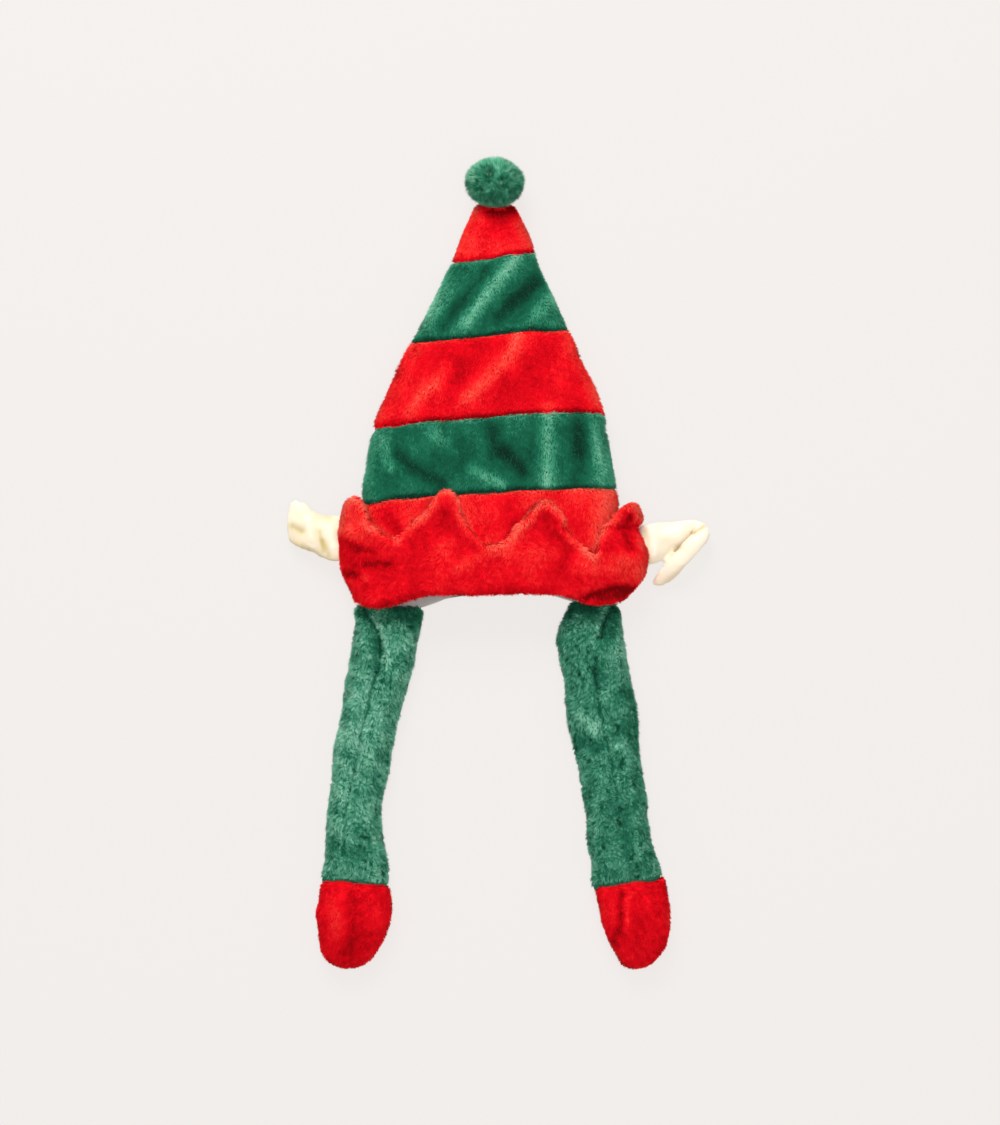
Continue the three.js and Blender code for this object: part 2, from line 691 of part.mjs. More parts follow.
function leg(side) {
  const cap = [0.25, 0.5, 0.75].map((size) => legRing(side, 0, size));
  const rings = legShares.map((share) => legRing(side, share));
  return loft([middleOf(cap[0]), ...cap, ...rings, middleOf(rings.at(-1))]);
}

function foot(side) {
  const slant = footSlant[side] * footWidth;
  const seamCentre = legSection(side, -legLength).centre;
  const rings = footStations[side].map(({ along, drift, width, loft: height }) => {
    const centre = seamCentre + drift * footWidth;
    const tube = tubeSection(centre, (width * footWidth) / 2, height * footLoft);
    return legAngles.map((angle) => {
      const lean = slant * Math.cos(angle) * (1 - along);
      return sectionPoint(tube, angle, lean - legLength - along * footLength);
    });
  });
  const toe = middleOf(rings.at(-1))[0];
  toe.y = -legLength - footLength;
  return loft([middleOf(rings[0]), ...rings, [toe]]);
}

// Locks of yarn on a core, trimmed where the ball sits on the tip of the crown.
function pompom() {
  const radii = new THREE.Vector3(pompomWidth, pompomDepth, pompomLoft).divideScalar(2);
  const core = new THREE.IcosahedronGeometry(1, 2);
  const inner = radii.clone().subScalar(0.55 * lockLength);
  core.scale(inner.x, inner.y, inner.z);
  const profile = [
    new THREE.Vector2(lockWidth / 2, -lockLength),
    new THREE.Vector2(0.32 * lockWidth, -0.18 * lockLength),
  ];
  let ball = toSolid(core);
  const up = new THREE.Vector3(0, 0, 1);
  const goldenAngle = Math.PI * (3 - Math.sqrt(5));
  for (let i = 0; i < lockCount; i++) {
    const height = 1 - (2 * (i + 0.5)) / lockCount;
    const round = Math.sqrt(1 - height * height);
    const angle = i * goldenAngle;
    const direction = new THREE.Vector3(round * Math.cos(angle), round * Math.sin(angle), height);
    const turn = new THREE.Quaternion().setFromUnitVectors(up, direction);
    const end = direction.clone().multiply(radii);
    const rings = profile.map(({ x: radius, y: depth }) =>
      evenShares(lockColumns).map((share) =>
        new THREE.Vector3(radius, 0, depth)
          .applyAxisAngle(up, share * 2 * Math.PI)
          .applyQuaternion(turn)
          .add(end),
      ),
    );
    ball = ball.add(toSolid(loft([middleOf(rings[0]), ...rings, [end]])));
  }
  const seat = crownLength + radii.y - pompomSink;
  const placed = ball.translate([crownSection(crownLength, 0).centre, seat, radii.z]);
  return toGeometry(placed.subtract(tipBlock()));
}

// The tip of the crown as a solid block, grown by the seat's gap.
function tipBlock() {
  const ring = (y, inset) => crownAngles.map((angle) => crownPoint(angle, y, inset));
  const section = crownSection(crownLength, 0);
  const [low, high] = [0.85 * crownLength, crownLength + seatGap];
  return toSolid(
    loft([
      [new THREE.Vector3(section.centre, low, section.edge)],
      ring(low, -seatGap),
      ring(lerp(low, high, 0.5), -seatGap),
      ring(high, -seatGap),
      [new THREE.Vector3(section.centre, high, section.edge)],
    ]),
  );
}

const cloth = (color, roughness = 0.95) =>
  new THREE.MeshStandardMaterial({ color, roughness, metalness: 0 });
const redPlush = cloth(0xd81420);
const greenPlush = cloth(0x1f7a52);
const creamVelour = cloth(0xf3e8cd, 0.8);
const greyLining = cloth(0xc9c6c4, 0.7);

const colours = {
  crown_tip: redPlush,
  crown_band_upper_green: greenPlush,
  crown_band_red: redPlush,
  crown_band_lower_green: greenPlush,
  crown_band_base: redPlush,
  cuff: redPlush,
  lining: greyLining,
  pompom: greenPlush,
  ear_left: creamVelour,
  ear_right: creamVelour,
  leg_left: greenPlush,
  leg_right: greenPlush,
  foot_left: redPlush,
  foot_right: redPlush,
};

const shapes = {
  ...crownBands(),
  cuff: cuff(),
  lining: lining(),
  pompom: pompom(),
  ear_left: ear("left"),
  ear_right: ear("right"),
  leg_left: leg("left"),
  leg_right: leg("right"),
  foot_left: foot("left"),
  foot_right: foot("right"),
};

const hat = new THREE.Group();
for (const [name, shape] of Object.entries(shapes)) {
  const mesh = new THREE.Mesh(shape, colours[name]);
  mesh.name = name;
  hat.add(mesh);
}
hat.position.y = -hemToOrigin;

export default hat;
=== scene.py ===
"""Plush elf hat: pile, velour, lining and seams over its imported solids, and the studio it lies in."""
import math

import bpy
import numpy as np
from mathutils.bvhtree import BVHTree
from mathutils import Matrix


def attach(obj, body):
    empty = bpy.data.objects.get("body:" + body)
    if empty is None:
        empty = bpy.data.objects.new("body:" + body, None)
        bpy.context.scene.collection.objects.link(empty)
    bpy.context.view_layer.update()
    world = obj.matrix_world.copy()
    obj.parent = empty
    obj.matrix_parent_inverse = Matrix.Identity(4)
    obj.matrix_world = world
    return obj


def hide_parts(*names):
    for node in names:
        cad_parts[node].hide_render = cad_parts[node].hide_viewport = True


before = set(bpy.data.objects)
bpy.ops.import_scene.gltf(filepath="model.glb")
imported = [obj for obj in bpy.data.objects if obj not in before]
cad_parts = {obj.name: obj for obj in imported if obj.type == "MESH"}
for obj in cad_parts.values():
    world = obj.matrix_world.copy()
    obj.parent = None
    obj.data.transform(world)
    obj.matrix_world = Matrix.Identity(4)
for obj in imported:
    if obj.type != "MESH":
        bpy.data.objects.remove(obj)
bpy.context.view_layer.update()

MM = 0.001
scene = bpy.context.scene
scene.view_settings.view_transform = "Standard"


def rgb(red, green, blue):
    """A shader colour from the 0 to 255 values that a dyer reads off a sample."""
    steps = [value / 255 for value in (red, green, blue)]
    return [v / 12.92 if v <= 0.04045 else ((v + 0.055) / 1.055) ** 2.4 for v in steps] + [1.0]


# Camera: straight above the table, the hat's length upright in a frame of 1000 by 1125 pixels

PIXEL = 1.05
PHOTO_HEIGHT = 1125
LENS, SENSOR = 100, 36
MIDDLE = (10.5, 7.9, 20)


def overhead_camera():
    data = bpy.data.cameras.new("overhead")
    data.lens = LENS
    data.sensor_width = SENSOR
    data.clip_end = 20
    camera = bpy.data.objects.new("overhead", data)
    scene.collection.objects.link(camera)
    x, y, z = MIDDLE
    away = PHOTO_HEIGHT * PIXEL * LENS / SENSOR
    camera.location = (x * MM, y * MM, (z + away) * MM)
    scene.camera = camera


overhead_camera()


# Shaders


class Value:
    """One output of a node; the usual operators add Math nodes behind it."""

    def __init__(self, recipe, socket):
        self.recipe = recipe
        self.socket = socket

    def maths(self, operation, first, second):
        return self.recipe.add("Math", {"operation": operation}, {0: first, 1: second})

    def __add__(self, other):
        return self.maths("ADD", self, other)

    def __sub__(self, other):
        return self.maths("SUBTRACT", self, other)

    def __mul__(self, other):
        return self.maths("MULTIPLY", self, other)

    def __rsub__(self, other):
        return self.maths("SUBTRACT", other, self)

    __radd__ = __add__
    __rmul__ = __mul__


class Recipe:
    """A material being mixed: its nodes, and the one Principled shader they feed."""

    def __init__(self, name, finish):
        self.material = bpy.data.materials.new(name)
        self.material.use_nodes = True
        self.tree = self.material.node_tree
        self.shader = self.tree.nodes["Principled BSDF"]
        for socket, value in finish.items():
            self.shader.inputs[socket].default_value = value

    def feed(self, socket, value):
        if isinstance(value, Value):
            self.tree.links.new(value.socket, socket)
        else:
            socket.default_value = value

    def add(self, kind, settings, sockets, output=0):
        node = self.tree.nodes.new("ShaderNode" + kind)
        for key, value in settings.items():
            if key == "stops":
                ramp = node.color_ramp
                while len(ramp.elements) < len(value):
                    ramp.elements.new(0.5)
                for element, (place, colour) in zip(ramp.elements, value):
                    element.position = place
                    element.color = colour
            else:
                setattr(node, key, value)
        for key, value in sockets.items():
            self.feed(node.inputs[key], value)
        return Value(self, node.outputs[output])

    def place(self):
        return self.add("TexCoord", {}, {}, "Object")

    def painted(self, attribute):
        return self.add("Attribute", {"attribute_name": attribute}, {}, "Fac")

    def grain(self, size):
        """Noise of about this size in mm, from 0 to 1."""
        return self.add("TexNoise", {}, {"Vector": self.place(), "Scale": 1000 / size, "Detail": 2.0})

    def dye(self, shade, colours):
        """Lays the colours evenly from shade 0 to shade 1."""
        stops = [(k / (len(colours) - 1), colour) for k, colour in enumerate(colours)]
        self.feed(self.shader.inputs["Base Color"], self.add("ValToRGB", {"stops": stops}, {"Fac": shade}))

    def raise_nap(self, height, strength, depth):
        bump = self.add("Bump", {}, {"Height": height, "Strength": strength, "Distance": depth * MM})
        self.feed(self.shader.inputs["Normal"], bump)


PLUSH_FINISH = {
    "Roughness": 0.88,
    "Specular IOR Level": 0.16,
    "Sheen Weight": 0.22,
    "Sheen Roughness": 0.45,
}
RED_FINISH = {
    **PLUSH_FINISH,
    "Specular IOR Level": 0.07,
    "Sheen Weight": 0.08,
    "Sheen Tint": rgb(255, 110, 90),
}
GREEN_FINISH = {**PLUSH_FINISH, "Sheen Tint": rgb(150, 220, 190)}
CREAM_FINISH = {**PLUSH_FINISH, "Roughness": 0.8, "Sheen Tint": rgb(250, 249, 246)}
LINING_FINISH = {"Roughness": 0.7, "Specular IOR Level": 0.3, "Sheen Weight": 0.1}


def plush(name, colours, finish):
    """Pile fabric: painted shade at the roots and in the valleys, painted highlight where the tips catch
    the light.
    """
    recipe = Recipe(name, finish)
    shade = recipe.painted("shade") + (recipe.grain(1.6) - 0.5) * 0.10
    recipe.dye(shade, colours)
    recipe.raise_nap(recipe.grain(0.7), 0.25, 0.3)
    return recipe.material


def velour(name, colours, finish):
    """Short shorn pile that reads as smooth skin, with painted warm shade in its creases."""
    recipe = Recipe(name, finish)
    shade = recipe.painted("shade") + (recipe.grain(5.0) - 0.5) * 0.10 + (recipe.grain(0.9) - 0.5) * 0.10
    recipe.dye(shade, colours)
    recipe.raise_nap(recipe.grain(0.8) * 0.7 + recipe.grain(3.0) * 0.3, 0.5, 0.35)
    return recipe.material


def woven(name, colours, finish):
    """Thin plain-woven lining; its threads cross at right angles."""
    recipe = Recipe(name, finish)
    bands = [
        recipe.add(
            "TexWave",
            {"bands_direction": way, "wave_type": "BANDS"},
            {"Vector": recipe.place(), "Scale": 400, "Distortion": 0.6},
            "Fac",
        )
        for way in ("X", "Y")
    ]
    weave = bands[0] * 0.5 + bands[1] * 0.5
    recipe.dye(recipe.painted("shade") + (weave - 0.5) * 0.12 + (recipe.grain(6.0) - 0.5) * 0.12, colours)
    recipe.raise_nap(weave, 0.4, 0.25)
    return recipe.material


RED = [rgb(134, 0, 6), rgb(206, 0, 17), rgb(244, 9, 29), rgb(255, 56, 50), rgb(255, 102, 84)]
GREEN = [rgb(0, 42, 28), rgb(4, 74, 52), rgb(18, 106, 78), rgb(66, 154, 120), rgb(132, 202, 170)]
LEG_GREEN = [rgb(4, 42, 30), rgb(12, 80, 58), rgb(40, 118, 90), rgb(88, 162, 132), rgb(146, 206, 178)]
YARN = [rgb(4, 44, 28), rgb(10, 80, 54), rgb(30, 114, 84), rgb(70, 152, 118), rgb(126, 192, 160)]
CREAM = [rgb(186, 168, 112), rgb(213, 199, 166), rgb(229, 216, 193), rgb(236, 228, 211), rgb(242, 238, 229)]
GREY = [rgb(104, 100, 97), rgb(150, 145, 142), rgb(188, 184, 181), rgb(214, 211, 208)]

red_plush = plush("red_plush", RED, RED_FINISH)
green_plush = plush("green_plush", GREEN, GREEN_FINISH)
green_leg_plush = plush("green_leg_plush", LEG_GREEN, GREEN_FINISH)
pompom_yarn = plush("pompom_yarn", YARN, GREEN_FINISH)
cream_velour = velour("cream_velour", CREAM, CREAM_FINISH)
lining_cloth = woven("lining_cloth", GREY, LINING_FINISH)


# Studio: a pale table top, a soft tent of light and one large lamp beyond the pompom

TABLE_COLOUR = rgb(244, 240, 237)
TABLE_GLOW = 0.95
TABLE_SHADOW = 0.08
TABLE_SIZE, TABLE_GAP = 12, 0.0004
TENT_LIGHT = 0.78


def table_material():
    """Mostly a glow of its own, with a little plain matt that takes the hat's shadow."""
    recipe = Recipe("table_top", {})
    recipe.tree.nodes.remove(recipe.shader)
    glow = recipe.add("Emission", {}, {"Color": TABLE_COLOUR, "Strength": TABLE_GLOW})
    matt = recipe.add("BsdfDiffuse", {}, {"Color": TABLE_COLOUR})
    mixed = recipe.add("MixShader", {}, {0: TABLE_SHADOW, 1: glow, 2: matt})
    recipe.feed(recipe.tree.nodes["Material Output"].inputs["Surface"], mixed)
    return recipe.material


def table_top():
    bpy.ops.object.select_all(action="DESELECT")
    bpy.ops.mesh.primitive_plane_add(size=TABLE_SIZE, location=(0, 0, -TABLE_GAP))
    table = bpy.context.object
    table.name = "table_top"
    table.data.materials.append(table_material())


def lamp(name, place, size, power):
    data = bpy.data.lights.new(name, "AREA")
    data.shape = "DISK"
    data.size = size
    data.energy = power
    light = bpy.data.objects.new(name, data)
    scene.collection.objects.link(light)
    light.location = place
    away = light.location.copy()
    light.rotation_euler = away.to_track_quat("Z", "Y").to_euler()


def studio():
    table_top()
    lamp("window", (-0.5, 2.2, 2.0), 1.6, 78)
    lamp("overhead_fill", (0.3, -0.4, 3.6), 2.4, 40)
    world = bpy.data.worlds.new("tent")
    scene.world = world
    world.use_nodes = True
    tent = world.node_tree.nodes["Background"]
    tent.inputs["Color"].default_value = TABLE_COLOUR
    tent.inputs["Strength"].default_value = TENT_LIGHT


studio()


# Mesh helpers; all points here are in millimetres, and a mesh is in metres


def points_of(piece):
    flat = np.empty(len(piece.data.vertices) * 3, np.float32)
    piece.data.vertices.foreach_get("co", flat)
    return flat.reshape(-1, 3).astype(float) / MM


def normals_of(piece):
    flat = np.empty(len(piece.data.vertices) * 3, np.float32)
    piece.data.vertices.foreach_get("normal", flat)
    return flat.reshape(-1, 3).astype(float)


def triangles_of(piece):
    piece.data.calc_loop_triangles()
    flat = np.empty(len(piece.data.loop_triangles) * 3, np.int32)
    piece.data.loop_triangles.foreach_get("vertices", flat)
    return flat.reshape(-1, 3)


def edges_of(piece):
    flat = np.empty(len(piece.data.edges) * 2, np.int32)
    piece.data.edges.foreach_get("vertices", flat)
    return flat.reshape(-1, 2)


def move_points(piece, points):
    piece.data.vertices.foreach_set("co", (points * MM).astype(np.float32).ravel())
    piece.data.update()


def unit(vectors):
    return vectors / np.maximum(np.linalg.norm(vectors, axis=1, keepdims=True), 1e-9)


def alone(piece):
    """Selects this piece and nothing else."""
    bpy.ops.object.select_all(action="DESELECT")
    bpy.context.view_layer.objects.active = piece
    piece.select_set(True)


def apply_modifier(piece, kind, **settings):
    modifier = piece.modifiers.new(kind.title(), kind)
    for key, value in settings.items():
        setattr(modifier, key, value)
    alone(piece)
    bpy.ops.object.modifier_apply(modifier=modifier.name)


def soften(piece, levels):
    if levels:
        apply_modifier(piece, "SUBSURF", levels=levels, render_levels=levels)


def cut_from(node, name):
    """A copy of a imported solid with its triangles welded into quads, ready to be shaped."""
    piece = bpy.data.objects.new(name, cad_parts[node].data.copy())
    scene.collection.objects.link(piece)
    piece.data.materials.clear()
    alone(piece)
    bpy.ops.object.mode_set(mode="EDIT")
    bpy.ops.mesh.select_all(action="SELECT")
    bpy.ops.mesh.remove_doubles(threshold=0.00001)
    bpy.ops.mesh.tris_convert_to_quads(face_threshold=1.2, shape_threshold=1.2)
    bpy.ops.mesh.select_all(action="DESELECT")
    bpy.ops.mesh.edges_select_sharp(sharpness=math.radians(55))
    bpy.ops.transform.edge_crease(value=0.8)
    bpy.ops.object.mode_set(mode="OBJECT")
    return piece


def spread(piece, values, rounds):
    """Averages a value or place over each point's neighbours, some number of rounds."""
    edges = edges_of(piece)
    ends = np.concatenate([edges[:, 0], edges[:, 1]])
    others = np.concatenate([edges[:, 1], edges[:, 0]])
    count = np.bincount(ends, minlength=len(values))
    for _ in range(rounds):
        sums = np.stack([np.bincount(ends, column[others], len(values)) for column in values.T], 1)
        values = 0.5 * values + 0.5 * sums / np.maximum(count, 1)[:, None]
    return values


def relief(piece, rounds):
    """How far each point stands out of its surroundings, in mm."""
    points = points_of(piece)
    return np.sum((points - spread(piece, points, rounds)) * normals_of(piece), axis=1)


def mottle(points, size, seed):
    """Soft patches of about this size in mm, around 0 and mostly within -1 to 1."""
    dice = np.random.default_rng(seed)
    total = np.zeros(len(points))
    waves = 14
    for _ in range(waves):
        way = unit(dice.normal(size=(1, 3)))[0] * 2 * math.pi / (size * dice.uniform(1.4, 2.8))
        total += np.sin(points @ way + dice.uniform(0, 2 * math.pi))
    return total / math.sqrt(waves)


def gap_to(points, line):
    """How far each point lies from a line drawn over the hat, in mm, seen from above."""
    nearest = np.full(len(points), 1e9)
    for (x0, y0), (x1, y1) in zip(line, line[1:]):
        run = np.array([x1 - x0, y1 - y0])
        away = points[:, :2] - (x0, y0)
        along = np.clip((away @ run) / (run @ run), 0, 1)
        nearest = np.minimum(nearest, np.linalg.norm(away - along[:, None] * run, axis=1))
    return nearest


def stroke(points, line, breadth):
    """1 on the line, falling off to 0 over its breadth in mm."""
    return np.exp(-((gap_to(points, line) / breadth) ** 2))


def facing_up(normals):
    return np.clip(normals[:, 2] * 1.6 + 0.1, 0, 1)


def lift(piece, folds, floor_gap=4):
    """Raises or sinks the upper face along each fold: (height, painted light or shade, breadth, line)."""
    points = points_of(piece)
    upper = facing_up(normals_of(piece)) * np.clip(points[:, 2] / floor_gap, 0, 1)
    for height, _, breadth, line in folds:
        points[:, 2] += height * stroke(points, line, breadth) * upper
    points[:, 2] = np.maximum(points[:, 2], 0)
    move_points(piece, points)


def fold_painted_light(points, normals, folds):
    """The painted light and shade of the folds: a painted highlight where they stand up, painted shade
    where they sink.
    """
    painted_light_and_tone = np.zeros(len(points))
    for _, tone, breadth, line in folds:
        painted_light_and_tone += tone * stroke(points, line, breadth)
    return painted_light_and_tone * facing_up(normals)


def let_out(piece, rows):
    """Moves the left and right edges of a piece across, by the rows (y, left, right) in mm."""
    points = points_of(piece)
    slots = np.arange(points[:, 1].min(), points[:, 1].max() + 4, 4)
    here = [points[np.abs(points[:, 1] - y) < 5, 0] for y in slots]
    left = np.interp(points[:, 1], slots, [x.min() for x in here])
    right = np.interp(points[:, 1], slots, [x.max() for x in here])
    heights, lefts, rights = (list(column) for column in zip(*rows))
    across = np.clip((points[:, 0] - left) / np.maximum(right - left, 1), 0, 1)
    points[:, 0] += (1 - across) * np.interp(points[:, 1], heights, lefts)
    points[:, 0] += across * np.interp(points[:, 1], heights, rights)
    move_points(piece, points)


def rumple(piece, size, height, seed):
    """Soft lumps of about this size and height in mm, flattened where the piece rests."""
    points, normals = points_of(piece), normals_of(piece)
    free = np.clip(points[:, 2] / 6, 0, 1) * (normals[:, 2] > -0.6)
    moved = points + normals * (height * mottle(points, size, seed) * free)[:, None]
    moved[:, 2] = np.maximum(moved[:, 2], 0)
    move_points(piece, moved)


STUFFING_PRESSURE = 4
STUFFING_FRAMES = 20


def stuff(piece, voxel, swell, ends=None):
    """Remeshes a padded piece and blows it up as cloth; no point moves further than swell, in mm.

    ends is the pair of heights along the hat between which the piece is free to swell.
    """
    apply_modifier(piece, "REMESH", mode="VOXEL", voxel_size=voxel * MM)
    start = points_of(piece)
    cloth = piece.modifiers.new("Cloth", "CLOTH")
    cloth.settings.use_pressure = True
    cloth.settings.uniform_pressure_force = STUFFING_PRESSURE
    cloth.settings.effector_weights.gravity = 0
    cloth.point_cache.frame_end = STUFFING_FRAMES
    for number in range(1, STUFFING_FRAMES + 1):
        scene.frame_set(number)
    blown = piece.evaluated_get(bpy.context.evaluated_depsgraph_get())
    move = points_of(blown) - start
    piece.modifiers.remove(cloth)
    scene.frame_set(1)
    reach = np.linalg.norm(move, axis=1, keepdims=True)
    move *= np.minimum(1, swell / np.maximum(reach, 1e-6))
    if ends:
        free = np.clip(np.minimum(start[:, 1] - ends[0], ends[1] - start[:, 1]) / 12, 0, 1)
        move *= free[:, None]
    start = start + move
    start[:, 2] = np.maximum(start[:, 2], 0)
    move_points(piece, start)
    soften(piece, 1)


# Pile; the first lengths say where no pile grows, in mm along a face's normal

CLEAR_OF_FACE = 0.3
ACROSS_THE_HAT = 400
BEHIND_FACE = 1.5
NEIGHBOUR_REACH = 8
UNDERSIDE = -0.4
ROOT_DEPTH = 0.5
PRESSED_PILE = 0.5


def open_faces(piece, triangles, points, node):
    """True for the faces that pile grows on: not inside the hat, and not against a neighbour."""
    others = [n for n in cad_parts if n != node]
    walls = []
    for n in others:
        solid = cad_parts[n]
        walls.append(BVHTree.FromPolygons(points_of(solid).tolist(), triangles_of(solid).tolist()))
    own = BVHTree.FromPolygons(points.tolist(), triangles.tolist())
    corners = points[triangles]
    centres = corners.mean(axis=1)
    ways = unit(np.cross(corners[:, 1] - corners[:, 0], corners[:, 2] - corners[:, 0]))
    bare = np.zeros(len(triangles), bool)
    for k, (centre, way) in enumerate(zip(centres.tolist(), ways.tolist())):
        start = [c + CLEAR_OF_FACE * w for c, w in zip(centre, way)]
        if own.ray_cast(start, way, ACROSS_THE_HAT)[0] is not None:
            bare[k] = True
            continue
        start = [c - BEHIND_FACE * w for c, w in zip(centre, way)]
        bare[k] = any(wall.ray_cast(start, way, NEIGHBOUR_REACH)[0] is not None for wall in walls)
    return ~bare


def nearest_of(points, centres):
    found = np.empty(len(points), np.int64)
    for start in range(0, len(points), 4000):
        part = points[start:start + 4000]
        gaps = (part ** 2).sum(1)[:, None] - 2 * part @ centres.T + (centres ** 2).sum(1)[None]
        found[start:start + 4000] = gaps.argmin(axis=1)
    return found


def locks(piece, node, cut, painted_light_and_tone_at, seed, parting=None):
    """Grows the locks of a pile fabric on a piece: three-sided spikes rooted in its surface.

    cut gives the fabric: locks per mm2 above and beneath, length and width in mm, lean in degrees,
    the way it lies, how far it strays, and the size and pull of its clumps. The fourth argument gives
    the tone of points with their normals, from dark to light, with painted light and shade in it.
    parting is a line, its breadth and its share of locks left out.
    """
    dice = np.random.default_rng(seed)
    points, normals, triangles = points_of(piece), normals_of(piece), triangles_of(piece)
    corners = points[triangles]
    cross = np.cross(corners[:, 1] - corners[:, 0], corners[:, 2] - corners[:, 0])
    area = np.linalg.norm(cross, axis=1) / 2
    upward = cross[:, 2] / np.maximum(2 * area, 1e-9)
    thick = np.where(upward > UNDERSIDE, cut["above"], cut["beneath"])
    thick = thick * open_faces(piece, triangles, points, node)
    number = np.floor(area * thick + dice.random(len(area))).astype(int)
    home = np.repeat(np.arange(len(area)), number)
    first, second = dice.random(len(home)), dice.random(len(home))
    over = first + second > 1
    first[over], second[over] = 1 - first[over], 1 - second[over]
    share = np.stack([1 - first - second, first, second], 1)[:, :, None]
    root = (corners[home] * share).sum(axis=1)
    if parting:
        line, breadth, left_out = parting
        kept = dice.random(len(root)) > left_out * stroke(root, line, breadth) * (upward[home] > 0)
        home, share, root = home[kept], share[kept], root[kept]
    up = unit((normals[triangles[home]] * share).sum(axis=1))
    # Painted light on what stands out and painted shade in the hollows, from the relief.
    stands = np.clip(relief(piece, 8) * 0.13, -0.25, 0.2)
    painted_light_and_tone = painted_light_and_tone_at(root, up) + (stands[triangles[home]] * share[:, :, 0]).sum(axis=1)
    # Painted light on the side walls, the more the steeper they stand.
    painted_light_and_tone = painted_light_and_tone + 0.15 * (1 - np.abs(up[:, 2])) ** 2
    low = upward[home] <= UNDERSIDE

    lie = np.tile(np.array(cut["lie"], float), (len(root), 1))
    if not any(cut["lie"]):
        lie = dice.normal(size=root.shape)
    stray = np.stack([mottle(root, cut["patch"], seed + 10 + k) for k in range(3)], 1)
    lie = lie + cut["stray"] * stray + cut["loose"] * dice.normal(size=root.shape)
    flat = unit(lie - (lie * up).sum(axis=1, keepdims=True) * up)
    lean = np.radians(cut["lean"] + cut["wander"] * mottle(root, cut["patch"] * 0.7, seed + 20)
                      + 7 * dice.normal(size=len(root)))
    lean = np.clip(lean, 0.05, 1.4)[:, None]
    way = unit(np.cos(lean) * up + np.sin(lean) * flat)
    length = cut["length"] * dice.uniform(0.7, 1.2, len(root))[:, None]
    length = np.where(low[:, None], length * 0.8, length)
    tip = root + way * length

    middle = dice.choice(len(root), max(1, int(area.sum() / cut["clump"] ** 2)), replace=False)
    clump = nearest_of(root, root[middle])
    pull = cut["pull"] * dice.uniform(0.5, 1.0, len(root))[:, None]
    tip = tip + (tip[middle][clump] - tip) * pull

    way = unit(tip - root)
    side = unit(np.cross(way, up))
    ridge = unit(np.cross(side, way))
    half = cut["width"] / 2 * dice.uniform(0.75, 1.25, len(root))[:, None]
    half = np.where(low[:, None], half * 1.5, half)
    sunk = root - up * ROOT_DEPTH
    left, right, crest = sunk - side * half, sunk + side * half, sunk + ridge * half * 1.1
    spikes = np.stack([left, right, crest, tip], 1)
    pressed = PRESSED_PILE * dice.uniform(0.04, 0.7, len(root))[:, None]
    spikes[:, :, 2] = np.maximum(spikes[:, :, 2], pressed)
    soft = cut["soft"]
    faces = np.stack([
        soft * up - (1 - soft) * side,
        soft * up + (1 - soft) * side,
        soft * up + (1 - soft) * ridge,
        soft * up + (1 - soft) * (0.6 * ridge + 0.4 * way),
    ], 1)

    tone = cut["tone"] + painted_light_and_tone + cut["patchy"] * mottle(root, cut["patch"] * 1.6, seed + 30)
    tone = tone + cut["mottled"] * mottle(root, cut["clump"], seed + 31)
    tone = tone + cut["speckled"] * dice.normal(size=len(middle))[clump]
    tone = tone + 0.05 * dice.normal(size=len(root))
    # Each lock gets painted shade at its roots and painted light at its tip.
    shades = tone[:, None] + cut["root_and_tip_shading"] * np.array([[-0.22, -0.22, -0.10, 0.10]])
    return spikes, faces, shades


def dress(piece, base_shade, grown):
    """Joins the pile to its backing cloth in one mesh, with its soft normals and painted shade."""
    spikes, faces, shades = grown
    points, normals = points_of(piece), normals_of(piece)
    first = len(points)
    old = [list(polygon.vertices) for polygon in piece.data.polygons]
    number = len(spikes)
    start = first + 4 * np.arange(number)[:, None, None]
    pattern = np.array([[0, 2, 3], [2, 1, 3], [1, 0, 3]])
    spike_faces = (start + pattern[None]).reshape(-1, 3)
    everything = np.concatenate([points, spikes.reshape(-1, 3)]) * MM
    sizes = np.array([len(face) for face in old] + [3] * len(spike_faces))
    corners = np.concatenate([np.concatenate(old), spike_faces.ravel()])
    mesh = bpy.data.meshes.new(piece.name)
    mesh.vertices.add(len(everything))
    mesh.vertices.foreach_set("co", everything.astype(np.float32).ravel())
    mesh.loops.add(len(corners))
    mesh.loops.foreach_set("vertex_index", corners.astype(np.int32))
    mesh.polygons.add(len(sizes))
    mesh.polygons.foreach_set("loop_start", np.concatenate([[0], np.cumsum(sizes)[:-1]]).astype(np.int32))
    mesh.polygons.foreach_set("use_smooth", np.ones(len(sizes), bool))
    mesh.update(calc_edges=True)
    mesh.validate()
    shade = np.concatenate([base_shade, shades.ravel()]).astype(np.float32)
    mesh.attributes.new("shade", "FLOAT", "POINT").data.foreach_set("value", shade)
    soft_normals = unit(np.concatenate([normals, faces.reshape(-1, 3)]))
    mesh.normals_split_custom_set_from_vertices(soft_normals.tolist())
    piece.data = mesh


def paint_only(piece, shade):
    """Smooths a piece that has no pile and paints its shade."""
    mesh = piece.data
    mesh.polygons.foreach_set("use_smooth", np.ones(len(mesh.polygons), bool))
    mesh.attributes.new("shade", "FLOAT", "POINT").data.foreach_set("value", shade.astype(np.float32))


def finish_piece(piece, node, material):
    piece.data.materials.clear()
    piece.data.materials.append(material)
    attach(piece, "root")
    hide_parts(node)


# Fabrics: how each pile is cut

